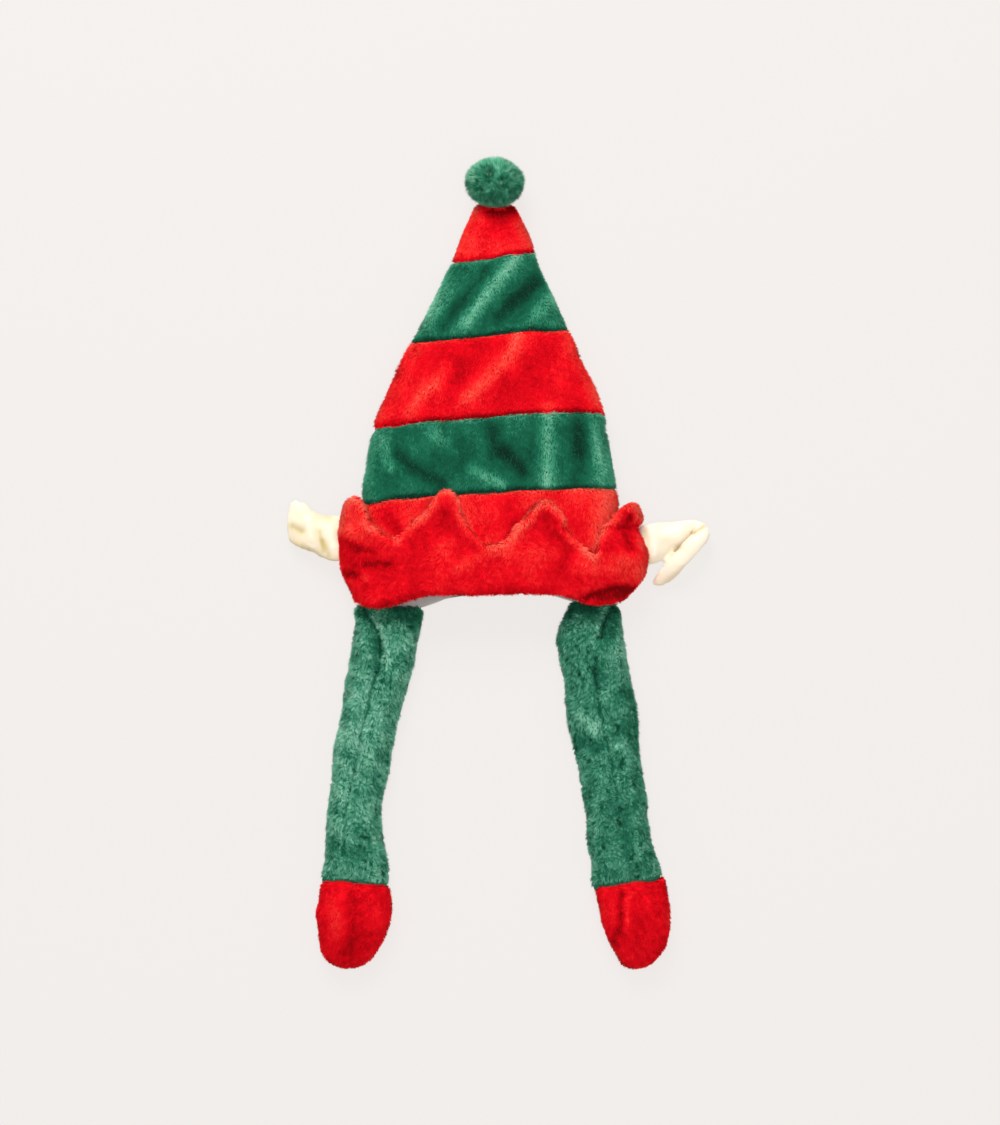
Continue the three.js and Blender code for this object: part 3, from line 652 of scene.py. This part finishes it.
CROWN_PILE = dict(
    above=1.27, beneath=0.24, length=4.2, width=1.05, lean=56, lie=(0, -1, 0), stray=0.35, loose=0.30,
    patch=16, wander=8, clump=3.6, pull=0.35, soft=0.84, patchy=0.07, mottled=0.04, speckled=0.03,
    root_and_tip_shading=0.65, tone=0.46,
)
CUFF_PILE = {
    **CROWN_PILE, "length": 4.4, "width": 1.0, "clump": 4.2, "pull": 0.45, "stray": 0.6, "patch": 14,
    "patchy": 0.06, "mottled": 0.05,
}
LEG_PILE = {
    **CROWN_PILE, "above": 1.38, "beneath": 0.2, "width": 0.9, "lean": 50, "stray": 0.8, "loose": 0.5,
    "patch": 8, "clump": 3.0, "pull": 0.6, "soft": 0.82, "patchy": 0.08, "mottled": 0.05,
    "speckled": 0.08, "root_and_tip_shading": 0.90, "tone": 0.54,
}
FOOT_PILE = {**CUFF_PILE, "length": 4.2}
YARN_PILE = dict(
    above=2.9, beneath=2.2, length=7.6, width=0.9, lean=17, lie=(0, -0.5, 0), stray=0.8, loose=1.0,
    patch=8, wander=8, clump=2.8, pull=0.34, soft=0.70, patchy=0.05, mottled=0.07, speckled=0.12,
    root_and_tip_shading=1.1, tone=0.5,
)
# The backing under the locks is painted darker: painted shade beneath the pile.
BACKING_SHADE = 0.34


def clothe(piece, node, material, cut, painted_light_and_tone_at, seed, parting=None):
    """Grows the pile on a shaped piece and puts it in its node's place."""
    grown = locks(piece, node, cut, painted_light_and_tone_at, seed, parting)
    points = points_of(piece)
    points[:, 2] = np.maximum(points[:, 2], PRESSED_PILE)
    move_points(piece, points)
    # Painted shade of the backing, with a random mottle over it.
    backing = BACKING_SHADE + 0.06 * mottle(points, 16, seed + 40) + 0.05 * mottle(points, 6, seed + 41)
    dress(piece, backing, grown)
    finish_piece(piece, node, material)


# Cuff: the turned-up brim, its front edge cut in points that curl away from the crown

FRONT_EDGE = [
    (-160, 40), (-158, 56), (-155, 68), (-151, 75), (-145, 77), (-137, 76), (-132, 71), (-128, 62),
    (-127, 50), (-121, 45), (-113, 42), (-104, 37), (-98, 32), (-92, 38), (-84, 44), (-76, 54), (-66, 61),
    (-60, 69), (-57, 78), (-50, 83), (-42, 83), (-35, 79), (-32, 70), (-31, 61), (-26, 52), (-18, 43),
    (-10, 33), (-2, 28), (8, 27), (17, 31), (28, 40), (35, 50), (44, 62), (54, 70), (63, 70), (72, 62),
    (77, 53), (80, 45), (88, 33), (96, 24), (104, 19), (112, 30), (122, 46), (130, 60), (136, 68),
    (147, 74), (156, 66), (160, 52),
]
# Each fold: its height in mm, the painted light or shade on it, its breadth in mm and its line.
CUFF_FOLDS = [
    (1.5, 0.16, 8, [(-30, 4), (-18, 14), (0, 20)]),
    (1.0, 0.14, 12, [(22, 18), (62, 14)]),
    (-2.0, -0.22, 5, [(-157, 36), (-146, 30), (-134, 23), (-121, 21)]),
    (-1.0, -0.16, 16, [(-140, 10), (-126, 0)]),
    (-2.5, -0.30, 5, [(-152, -2), (-141, -4)]),
    (-1.8, -0.20, 5, [(-128, 8), (-104, 8)]),
    (1.2, 0.14, 5, [(-131, -4), (-127, -8)]),
    (0.6, 0.10, 9, [(-52, 22), (-44, 32)]),
    (-0.8, -0.09, 8, [(-46, 64), (-42, 42)]),
    (-1.2, -0.14, 9, [(56, 56), (68, 42)]),
    (-1.0, -0.13, 10, [(70, 34), (78, 22), (80, 8)]),
    (1.6, 0.20, 7, [(95, 20), (106, 17)]),
    (1.5, 0.20, 10, [(88, 6), (120, 6), (150, 2)]),
    (1.0, 0.14, 6, [(112, 18), (140, 14)]),
    (-1.5, -0.16, 6, [(141, 48), (143, 24)]),
    (-1.0, -0.40, 3, [(147, 58), (149, 55)]),
    (1.0, 0.20, 4, [(152, 44), (157, 26)]),
    (-4.5, -0.46, 4.5, [(98, -29), (108, -24), (124, -20), (152, -17)]),
    (-2.0, -0.30, 6, [(112, -29), (140, -24)]),
    (0.0, -0.22, 6, [(-108, -33), (-84, -27), (-20, -26)]),
    (0.0, -0.24, 5, [(-128, -38), (-108, -35)]),
    (0.0, -0.20, 8, [(-10, -22), (60, -22)]),
    (0.6, 0.10, 5, [(-26, -18), (-18, -20)]),
    (4.0, 0.12, 8, [(-45, 80), (-46, 70)]),
    (3.0, 0.24, 12, [(-146, 70), (-143, 44)]),
    (3.0, 0.12, 7, [(142, 72), (154, 60)]),
    (0.0, 0.14, 7, [(-66, 58), (-72, 52)]),
    (0.0, 0.14, 8, [(36, 44), (24, 28), (18, 20)]),
]
FRONT_LAYER = 26
# Painted highlight along the cuff's cut edge: its strength, and its breadth in mm.
RIM_LIGHT, RIM_BREADTH = 0.36, 6
ROLL_HEIGHT = 1.9
CUFF_FOOT = -10.0
HEM_FLARE = 2.5
BACK_HEM_RISE = 3.0
CUFF_SIDES = [
    (-40, 0, 0), (-24, 0.5, -2), (-11, 0, 1.5), (-1, -1, 4), (12, -1, 6), (21, -2, 6), (30, -5, 2),
    (41, -4, -4), (46, -2, -7), (49, -2, 0.5), (55, -2, 1), (67, -1.5, 0), (78, 1.5, -0.5),
]


def front_edge(x):
    corners = np.array(FRONT_EDGE, float)
    return np.interp(x, corners[:, 0], corners[:, 1])


def cut_points(piece):
    """Moves the front layer's edge to the line it is cut along."""
    points = points_of(piece)
    front = np.clip((points[:, 2] - 30) / 12, 0, 1)
    slots = np.linspace(-160, 165, 131)
    edge = np.array([
        points[(front > 0.5) & (np.abs(points[:, 0] - x) < 4), 1].max(initial=-1e3) for x in slots
    ])
    known = edge > -1e2
    old = np.interp(points[:, 0], slots[known], edge[known])
    share = np.clip((points[:, 1] - CUFF_FOOT) / np.maximum(old - CUFF_FOOT, 1), 0, 1.1)
    points[:, 1] += front * share ** 1.5 * np.clip(front_edge(points[:, 0]) - old, -16, 16)
    move_points(piece, points)


def edge_roll(piece):
    """Rolls the front layer's cut edge over."""
    points, normals = points_of(piece), normals_of(piece)
    front = points[:, 2] > FRONT_LAYER
    outer = np.clip(normals[:, 2] * np.where(front, 1.5, -1.5), 0, 1)
    gap = gap_to(points, FRONT_EDGE)
    roll = np.exp(-(((gap - 3) / 6) ** 2)) * front * outer
    points += normals * (ROLL_HEIGHT * roll)[:, None]
    points[:, 2] = np.maximum(points[:, 2], 0)
    move_points(piece, points)


def cuff_painted_light(points, normals):
    """A painted highlight along the cut edge, where the pile stands open, and the painted light and shade
    of the folds.
    """
    rim = stroke(points, FRONT_EDGE, RIM_BREADTH) * (points[:, 2] > FRONT_LAYER)
    rim = rim * np.clip(normals[:, 2] * 1.6 + 0.4, 0, 1)
    return RIM_LIGHT * rim + fold_painted_light(points, normals, CUFF_FOLDS) - 0.03


def raise_back_hem(piece):
    """Draws the back wall's hem up a little, so that its lining shows below it."""
    points = points_of(piece)
    behind = np.clip((24 - points[:, 2]) / 8, 0, 1) * np.clip((110 - np.abs(points[:, 0])) / 20, 0, 1)
    points[:, 1] += BACK_HEM_RISE * behind * np.clip((-12 - points[:, 1]) / 12, 0, 1)
    move_points(piece, points)


def cuff():
    piece = cut_from("cuff", "cuff_plush")
    soften(piece, 2)
    cut_points(piece)
    edge_roll(piece)
    rumple(piece, 34, 0.9, 701)
    rumple(piece, 15, 0.35, 702)
    lift(piece, CUFF_FOLDS)
    points = points_of(piece)
    outward = np.clip(np.abs(points[:, 0]) / 40 - 2.5, 0, 1)
    points[:, 0] += HEM_FLARE * outward * np.clip((5 - points[:, 1]) / 20, 0, 1)
    move_points(piece, points)
    let_out(piece, CUFF_SIDES)
    raise_back_hem(piece)
    clothe(piece, "cuff", red_plush, CUFF_PILE, cuff_painted_light, 700)


# Crown: five bands of plush, seamed together, and the cap at its tip

# Each fold: its height in mm, the painted light or shade on it, its breadth in mm and its line.
CROWN_FOLDS = [
    (0.0, 0.18, 12, [(-44, 304), (-66, 259)]),
    (-0.5, -0.24, 7, [(-3, 316), (-18, 294)]),
    (-0.5, -0.28, 8, [(-26, 284), (-50, 258)]),
    (1.0, 0.34, 8, [(26, 328), (8, 303), (-10, 282), (-24, 260)]),
    (-1.0, -0.34, 8, [(48, 302), (26, 286), (8, 266)]),
    (0.6, 0.20, 9, [(64, 286), (40, 260)]),
    # Painted shadow of the pompom on the crown's tip.
    (-1.5, -0.80, 8, [(0, 381), (22, 381)]),
    (-0.4, -0.22, 8, [(2, 374), (14, 366)]),
    (0.3, 0.16, 8, [(30, 362), (38, 344)]),
    (0.3, 0.14, 9, [(-18, 348), (-22, 336)]),
    (0.2, 0.10, 9, [(2, 344), (20, 342)]),
    (1.0, 0.27, 8.5, [(29, 248), (24, 232), (12, 214), (-4, 198), (-24, 182)]),
    (0.8, 0.24, 7.5, [(-46, 214), (-57, 198), (-74, 182), (-84, 166)]),
    (-0.5, -0.05, 9, [(-14, 232), (-40, 182)]),
    (-0.5, -0.07, 14, [(52, 214), (60, 188)]),
    (0.3, 0.16, 8, [(80, 238), (96, 206), (110, 176)]),
    (0.5, 0.12, 8, [(-78, 226), (-96, 186)]),
    (-0.5, -0.22, 5, [(-116, 153), (-88, 156)]),
    (0.6, 0.24, 8, [(-110, 138), (-104, 110)]),
    (-0.8, -0.28, 7, [(-98, 122), (-76, 106), (-50, 92)]),
    (0.5, 0.20, 8, [(-54, 140), (-38, 124)]),
    (-0.8, -0.24, 8, [(2, 150), (4, 124)]),
    (0.6, 0.22, 6, [(-20, 108), (14, 90)]),
    (-1.0, -0.32, 7, [(14, 126), (34, 104)]),
    (0.9, 0.32, 8, [(60, 168), (59, 92)]),
    (-0.9, -0.28, 7, [(90, 160), (93, 122)]),
    (0.5, 0.24, 6, [(108, 150), (112, 118)]),
    (0.4, 0.18, 8, [(116, 104), (112, 92)]),
    (-0.5, -0.16, 7, [(96, 108), (88, 96)]),
    (0.8, 0.20, 11, [(118, 82), (113, 52), (112, 30)]),
    (0.3, 0.12, 8, [(126, 82), (124, 66)]),
    (-1.0, -0.24, 8, [(-106, 56), (-96, 44)]),
    (-0.5, -0.10, 12, [(20, 70), (24, 50)]),
    (0.3, 0.10, 7, [(30, 68), (60, 72)]),
]
# Each seam: the line it is cut along, and how far it strays up or down at each x

SEAMS = [
    (
        [(-36, 324), (42, 333)],
        [(-36, -2.2), (-16, -3.2), (3, -3.2), (8, -2.0), (15, 0.0), (23, 0.7), (42, -0.8)],
    ),
    (
        [(-80, 238), (78, 250.5)],
        [(-78, 0.4), (-60, -0.6), (-20, -0.9), (-1, 0.6), (19, 2.5), (39, 3.5), (58, 1.4), (74, -0.3)],
    ),
    (
        [(-118, 150.5), (-32, 158.4), (111, 166)],
        [
            (-118, -2.6), (-96, -4.3), (-84, -2.6), (-67, -1.0), (-3, -1.3), (25, 0.8), (54, 0.9),
            (109, -1.8), (116, -10),
        ],
    ),
    (
        [(-130, 70.3), (-34, 78.5), (128, 86.5)],
        [
            (-130, -1.2), (-122, -2.4), (-98, 0.6), (-66, -0.7), (31, 0.5), (63, -0.5), (96, 0.7),
            (130, -2.5),
        ],
    ),
]
SEAM_REACH = 24
CROWN_SIDES = [
    (60, 0, 0), (88, 0.4, 0.8), (103, 1, -0.4), (132, -0.2, -0.8), (147, 0, -1.8), (155, -0.4, 2),
    (160, -1, 4), (166, 0, 3), (176, 1.8, 1.6), (191, 1, 1), (206, 1, -1.1), (221, 0, -1.6), (235, 0, -0.3),
    (243, 1.2, -0.2), (250, 2.4, 0), (265, 2, 1.2), (279, 1.2, 0.2), (294, 1.2, -0.9), (309, 0.5, -1.8),
    (323, 0, -1.6), (338, -1.6, 2), (353, -0.8, 1.1), (368, 0.4, 0), (382, 2.8, -0.8), (390, 3, -1.5),
]
BAND_TONE = {"crown_tip": 0.06, "crown_band_red": -0.06, "crown_band_lower_green": -0.05}
TIP_RISE = 3
RIGHT_BULGE, RIGHT_BULGE_BREADTH = 2.5, 30
RIGHT_BULGE_LINE = [(110, 190), (122, 130)]


def seam_wander(points):
    """How far the seams stray up and down the crown from a straight cut, in mm."""
    wander = 0.4 * mottle(points * (1, 0, 0.4), 10, 52)
    for cut, strays in SEAMS:
        height = np.interp(points[:, 0], *zip(*cut))
        near = np.clip(1 - np.abs(points[:, 1] - height) / SEAM_REACH, 0, 1)
        wander += near * np.interp(points[:, 0], *zip(*strays))
    return wander


def band_tone_and_painted_light(piece, node):
    """Painted shade where the band tucks into the seam below it, a painted highlight where it comes out of
    the one above.
    """
    points = points_of(piece)
    slots = np.arange(points[:, 0].min(), points[:, 0].max() + 3, 3)
    here = [points[np.abs(points[:, 0] - x) < 4, 1] for x in slots]
    lower, upper = [y.min() for y in here], [y.max() for y in here]

    def painted_light_and_tone_at(roots, normals):
        low = roots[:, 1] - np.interp(roots[:, 0], slots, lower)
        high = np.interp(roots[:, 0], slots, upper) - roots[:, 1]
        painted_light_and_tone = BAND_TONE.get(node, 0) + fold_painted_light(roots, normals, CROWN_FOLDS)
        painted_light_and_tone += 0.16 * np.exp(-((high / 3.5) ** 2)) - 0.56 * np.exp(-(((low - 2.4) / 2.8) ** 2))
        # Painted light on the base band along the cuff's cut edge.
        if node == "crown_band_base":
            painted_light_and_tone += 0.05 + 0.16 * stroke(roots, FRONT_EDGE, 5)
        return painted_light_and_tone

    return painted_light_and_tone_at


def crown_band(node, material, seed):
    piece = cut_from(node, node + "_plush")
    soften(piece, 1)
    rumple(piece, 30, 0.5, seed + 1)
    lift(piece, CROWN_FOLDS)
    points = points_of(piece)
    points[:, 1] += seam_wander(points) * np.clip((points[:, 1] - 20) / 40, 0, 1)
    points[:, 1] += TIP_RISE * np.clip((points[:, 1] - 368) / 12, 0, 1)
    bulge = stroke(points, RIGHT_BULGE_LINE, RIGHT_BULGE_BREADTH)
    points[:, 0] += RIGHT_BULGE * bulge * (points[:, 0] > 60)
    move_points(piece, points)
    let_out(piece, CROWN_SIDES)
    if node == "crown_band_base":
        raise_back_hem(piece)
    clothe(piece, node, material, CROWN_PILE, band_tone_and_painted_light(piece, node), seed)


# Legs and feet: stuffed tubes, seamed down their upper side

# Each fold: its height in mm, the painted light or shade on it, its breadth in mm and its line.
SIDES = {
    "left": {
        "seam": [
            (-121, -112), (-126, -134), (-136, -178), (-143, -210), (-149, -244), (-152, -273),
            (-154, -300),
        ],
        "folds": [
            (-2.6, -0.34, 2.4, [(-132, -42), (-121, -58), (-115, -74), (-114, -90), (-119, -110)]),
            (-1.6, -0.26, 6, [(-137, -45), (-125, -60), (-120, -76), (-120, -98)]),
            (1.2, 0.14, 4, [(-127, -44), (-115, -58), (-108, -75), (-108, -94)]),
            # Painted shadow of the cuff on the top of the leg.
            (-0.5, -0.34, 13, [(-100, -42), (-78, -48)]),
            (-1.6, -0.18, 6, [(-116, -255), (-106, -258)]),
            (-0.8, -0.16, 10, [(-160, -290), (-130, -300)]),
            (0.5, 0.08, 14, [(-140, -120), (-160, -230)]),
            (0.5, 0.10, 10, [(-116, -140), (-128, -200)]),
        ],
        "cuff_line": [(-178, -324), (-104, -331)],
        "edges": [
            (-330, 0, -1.5), (-296, -1, -1.2), (-270, -0.5, 0.8), (-246, 1.5, 1), (-229, 1.8, 3.2),
            (-200, 1.5, 3.6), (-165, 2, 4.4), (-140, 2.9, 5), (-118, 3.2, 6), (-94, 2.6, 4.2),
            (-78, 1.6, 2.4), (-61, 1.6, 0.4), (-42, 0.8, 0.2),
        ],
        "painted_light_and_tone": 0.15,
        "foot_folds": [
            (-1.6, -0.12, 8, [(-143, -342), (-144, -372), (-147, -398)]),
            (1.2, 0.16, 10, [(-163, -345), (-160, -385)]),
            (0.6, 0.10, 8, [(-122, -344), (-120, -374)]),
        ],
        "foot_edges": [
            (-400, -1.5, -1.4), (-380, 2, -3.6), (-363, 1.2, -1), (-346, 3.6, 0), (-330, 3, -2),
        ],
        "foot_shift": 1.0,
    },
    "right": {
        "seam": [
            (108, -100), (112, -118), (115, -142), (119, -168), (123, -184), (128, -205), (133, -240),
        ],
        "folds": [
            (-2.4, -0.34, 3, [(128, -38), (121, -52), (117, -70)]),
            (-1.2, -0.22, 7, [(130, -42), (127, -66)]),
            (0.8, 0.14, 3.5, [(119, -40), (113, -56), (109, -78)]),
            # Painted shadow of the cuff on the top of the leg.
            (-1.0, -0.32, 9, [(84, -38), (106, -41)]),
            (0.8, 0.16, 8, [(137, -64), (142, -110)]),
            (-0.8, -0.18, 8, [(150, -128), (156, -186)]),
            (-0.8, -0.18, 8, [(100, -178), (112, -186)]),
            (0.6, 0.18, 9, [(94, -150), (110, -166)]),
            (-0.4, -0.16, 6, [(110, -92), (112, -122)]),
            (-0.4, -0.12, 9, [(138, -250), (144, -290)]),
        ],
        "cuff_line": [(108, -333), (183, -322)],
        "edges": [
            (-326, 2, 2.5), (-313, 2, 0), (-296, -2.4, -1), (-279, -2.1, -2), (-262, -1.5, -2),
            (-246, -1.2, 0.5), (-229, -1.1, 1.6), (-212, -0.6, 0.2), (-195, -2, 1.6), (-178, -2.5, 1.5),
            (-162, -3.8, 2.1), (-145, -2.2, 1.8), (-128, 0.2, 0.6), (-111, 0, 1.1), (-94, -1.8, 1.6),
            (-78, -1.5, 3.6), (-61, 3.2, 2), (-48, 7.6, -2), (-40, 10, -5),
        ],
        "painted_light_and_tone": 0.05,
        "foot_folds": [
            (-1.8, -0.20, 5, [(138, -340), (136, -366), (132, -390)]),
            (1.4, 0.14, 4, [(146, -340), (142, -374)]),
            (0.4, 0.10, 8, [(118, -344), (124, -366)]),
        ],
        "foot_edges": [
            (-400, 1.4, -1), (-380, 3.2, 1), (-363, 3.9, -0.3), (-346, 3.7, 0.5), (-330, 3, 2.5),
        ],
        "foot_shift": 5.5,
    },
}
LEG_ENDS = (-322, -42)
FOOT_ENDS = (-430, -326)
STUFFING_VOXEL, STUFFING_SWELL = 5, 4
SEAM_DEPTH, SEAM_BREADTH, SEAM_BANK = 1.2, 1.8, 0.8
SLEEVE_WIDENING = 2.4
FOOT_WIDENING = 0.8
ANKLE_DROP = 5.0
SLEEVE_OVERLAP = 2.0
FOOT_TUCK = 1.5
TOE_DROP = -9.0


def leg(side, seed):
    facts = SIDES[side]
    node = "leg_" + side
    piece = cut_from(node, node + "_plush")
    stuff(piece, STUFFING_VOXEL, STUFFING_SWELL, LEG_ENDS)
    points = points_of(piece)
    points[:, 0] += SLEEVE_WIDENING * normals_of(piece)[:, 0]
    points[:, 1] -= ANKLE_DROP * np.clip((-280 - points[:, 1]) / 36, 0, 1)
    points[:, 1] -= SLEEVE_OVERLAP * np.clip((-317 - points[:, 1]) / 8, 0, 1)
    move_points(piece, points)
    let_out(piece, facts["edges"])
    rumple(piece, 26, 0.6, seed + 1)
    seam = [
        (SEAM_BANK, 0.04, 3 * SEAM_BREADTH, facts["seam"]),
        (-SEAM_DEPTH - SEAM_BANK, -0.18, SEAM_BREADTH, facts["seam"]),
    ]
    folds = facts["folds"] + seam
    lift(piece, folds)

    def painted_light_and_tone_at(roots, normals):
        # Painted shadow along the line where the leg's hem meets the foot.
        ankle = -0.28 * stroke(roots, facts["cuff_line"], 2.6)
        pits = 0.55 * np.clip(mottle(roots, 3.2, seed + 2) - 0.75, 0, 0.7)
        return facts["painted_light_and_tone"] + fold_painted_light(roots, normals, folds) + ankle - pits

    parting = (facts["seam"], 1.0, 0.4)
    clothe(piece, node, green_leg_plush, LEG_PILE, painted_light_and_tone_at, seed, parting)


def foot(side, seed):
    facts = SIDES[side]
    node = "foot_" + side
    piece = cut_from(node, node + "_plush")
    stuff(piece, STUFFING_VOXEL, STUFFING_SWELL, FOOT_ENDS)
    points = points_of(piece)
    toe = np.clip((-330 - points[:, 1]) / 70, 0, 1)
    ankle = np.clip((points[:, 1] + 350) / 24, 0, 1)
    points[:, 0] += facts["foot_shift"] * toe + FOOT_WIDENING * normals_of(piece)[:, 0]
    points[:, 1] += TOE_DROP * toe + (FOOT_TUCK - ANKLE_DROP) * ankle
    move_points(piece, points)
    let_out(piece, facts["foot_edges"])
    rumple(piece, 24, 0.7, seed + 1)
    lift(piece, facts["foot_folds"])

    def painted_light_and_tone_at(roots, normals):
        return fold_painted_light(roots, normals, facts["foot_folds"]) - 0.12

    clothe(piece, node, red_plush, FOOT_PILE, painted_light_and_tone_at, seed)


# Ears: shorn velour, lightly stuffed, their tips folded over

# Each fold: its height in mm, the painted light or shade on it, its breadth in mm and its line.
EAR_FOLDS = {
    "left": [
        (-1.4, -0.30, 4.4, [(-207, 46), (-198, 41)]),
        (-0.8, -0.14, 3.0, [(-175, 30), (-169, 15)]),
        (-0.8, -0.18, 2.6, [(-178, 40), (-175, 20)]),
        (-0.4, -0.18, 5.0, [(-177, 58), (-170, 56)]),
        (0.0, -0.34, 6.0, [(-212, 29), (-190, 18), (-176, 9), (-162, 4)]),
        (1.0, 0.12, 4.0, [(-190, 52), (-186, 26)]),
        (0.8, 0.12, 3.0, [(-167, 46), (-165, 24)]),
        (0.0, -0.12, 6.0, [(-184, 48), (-181, 30)]),
    ],
    "right": [
        (-1.2, -0.42, 2.6, [(214, 39), (225, 46)]),
        (-0.8, -0.26, 2.6, [(190, 16), (199, 24)]),
        (-0.8, -0.14, 2.4, [(199, 24), (214, 39)]),
        (-0.4, -0.26, 3.4, [(163, 42), (167, 8)]),
        (0.6, 0.12, 3.0, [(172, 44), (173, 16)]),
        (0.0, -0.24, 4.0, [(204, 2), (184, -14), (176, -18)]),
        (0.6, 0.10, 5.0, [(182, 40), (200, 42)]),
        (0.0, -0.12, 6.0, [(180, 30), (194, 30)]),
    ],
}
EAR_EDGES = {"left": [(0, 0, 0), (26, -3.2, 0), (50, -3.2, 0), (62, -2, 0), (76, -1, 0)]}
EAR_TONE = {"left": 0.40, "right": 0.54}
EAR_GROWTH = (1.6, 1.6, 0.4)
EAR_ROOT_TUCK = 3
EAR_TUCK = [(186, 12), (192, 18)]
EAR_TUCK_BREADTH = 7


def ear(side, seed):
    node = "ear_" + side
    piece = cut_from(node, node + "_velour")
    apply_modifier(piece, "REMESH", mode="VOXEL", voxel_size=2.5 * MM)
    move_points(piece, spread(piece, points_of(piece), 3))
    stuff(piece, 3, 2)
    points = points_of(piece) + normals_of(piece) * EAR_GROWTH
    root = np.clip((164 - np.abs(points[:, 0])) / 8, 0, 1)
    points[:, 0] -= np.sign(points[:, 0]) * EAR_ROOT_TUCK * root
    points[:, 2] = np.maximum(points[:, 2], 0)
    points += stroke(points, EAR_TUCK, EAR_TUCK_BREADTH)[:, None] * (spread(piece, points, 16) - points)
    move_points(piece, points)
    if side in EAR_EDGES:
        let_out(piece, EAR_EDGES[side])
    rumple(piece, 13, 0.4, seed)
    lift(piece, EAR_FOLDS[side], 3)
    painted_light_and_tone = fold_painted_light(points_of(piece), normals_of(piece), EAR_FOLDS[side])
    painted_light_and_tone += 0.05 * mottle(points_of(piece), 10, seed + 1)
    # Painted shade in the ear's hollows and painted light on what stands out, over its tone.
    paint_only(piece, np.clip(EAR_TONE[side] + painted_light_and_tone + relief(piece, 10) * 0.14, 0, 1))
    finish_piece(piece, node, cream_velour)


# Pompom and lining

POMPOM_MIDDLE = 404
CORE_INSET = (3.6, 6.0, 4.8)


def pompom_painted_light(points, normals):
    """Painted light on the side towards the lamp, and a little painted light at the foot, where the tufts
    lie open.
    """
    high = np.clip((points[:, 1] - POMPOM_MIDDLE) / 20, -1, 1)
    return 0.06 + 0.16 * np.clip(high + 0.25, -0.6, 0.7) + 0.24 * np.clip(-0.6 - high, 0, 1)


def pompom():
    piece = cut_from("pompom", "pompom_yarn_ball")
    apply_modifier(piece, "REMESH", mode="VOXEL", voxel_size=3 * MM)
    points = spread(piece, points_of(piece), 6)
    middle = (points.min(axis=0) + points.max(axis=0)) / 2
    reach = (points.max(axis=0) - points.min(axis=0)) / 2
    middle[0] -= 0.5
    move_points(piece, middle + (points - middle) * ((reach - CORE_INSET) / reach))
    rumple(piece, 9, 0.7, 1001)
    clothe(piece, "pompom", pompom_yarn, YARN_PILE, pompom_painted_light, 1000)


def lining():
    piece = cut_from("lining", "lining_cloth")
    soften(piece, 2)
    rumple(piece, 18, 0.5, 980)
    points = points_of(piece)
    middle = 0.5 * (points[:, 2].min() + points[:, 2].max())
    gathers = np.clip(0.5 + 0.5 * mottle(points * (1, 0.16, 0.3), 9, 981), 0, 1.2)
    near_hem = np.clip((70 - points[:, 1]) / 90, 0, 1)
    points[:, 2] -= np.sign(points[:, 2] - middle) * 1.8 * gathers * near_hem * (points[:, 2] > 6)
    hanging = np.clip((-20 - points[:, 1]) / 12, 0, 1) * (points[:, 2] < 20)
    points[:, 1] -= (2.0 + 1.2 * np.clip(-points[:, 0] / 60, 0, 1)) * hanging
    move_points(piece, points)
    # Painted shade in the gathers near the hem, painted shade in the hollows and painted light on what
    # stands out.
    paint_only(piece, np.clip(0.56 - 0.22 * gathers * near_hem + relief(piece, 8) * 0.12, 0, 1))
    finish_piece(piece, "lining", lining_cloth)


crown_band("crown_tip", red_plush, 100)
crown_band("crown_band_upper_green", green_plush, 200)
crown_band("crown_band_red", red_plush, 300)
crown_band("crown_band_lower_green", green_plush, 400)
crown_band("crown_band_base", red_plush, 500)
cuff()
leg("left", 800)
leg("right", 850)
foot("left", 900)
foot("right", 950)
ear("left", 960)
ear("right", 970)
pompom()
lining()
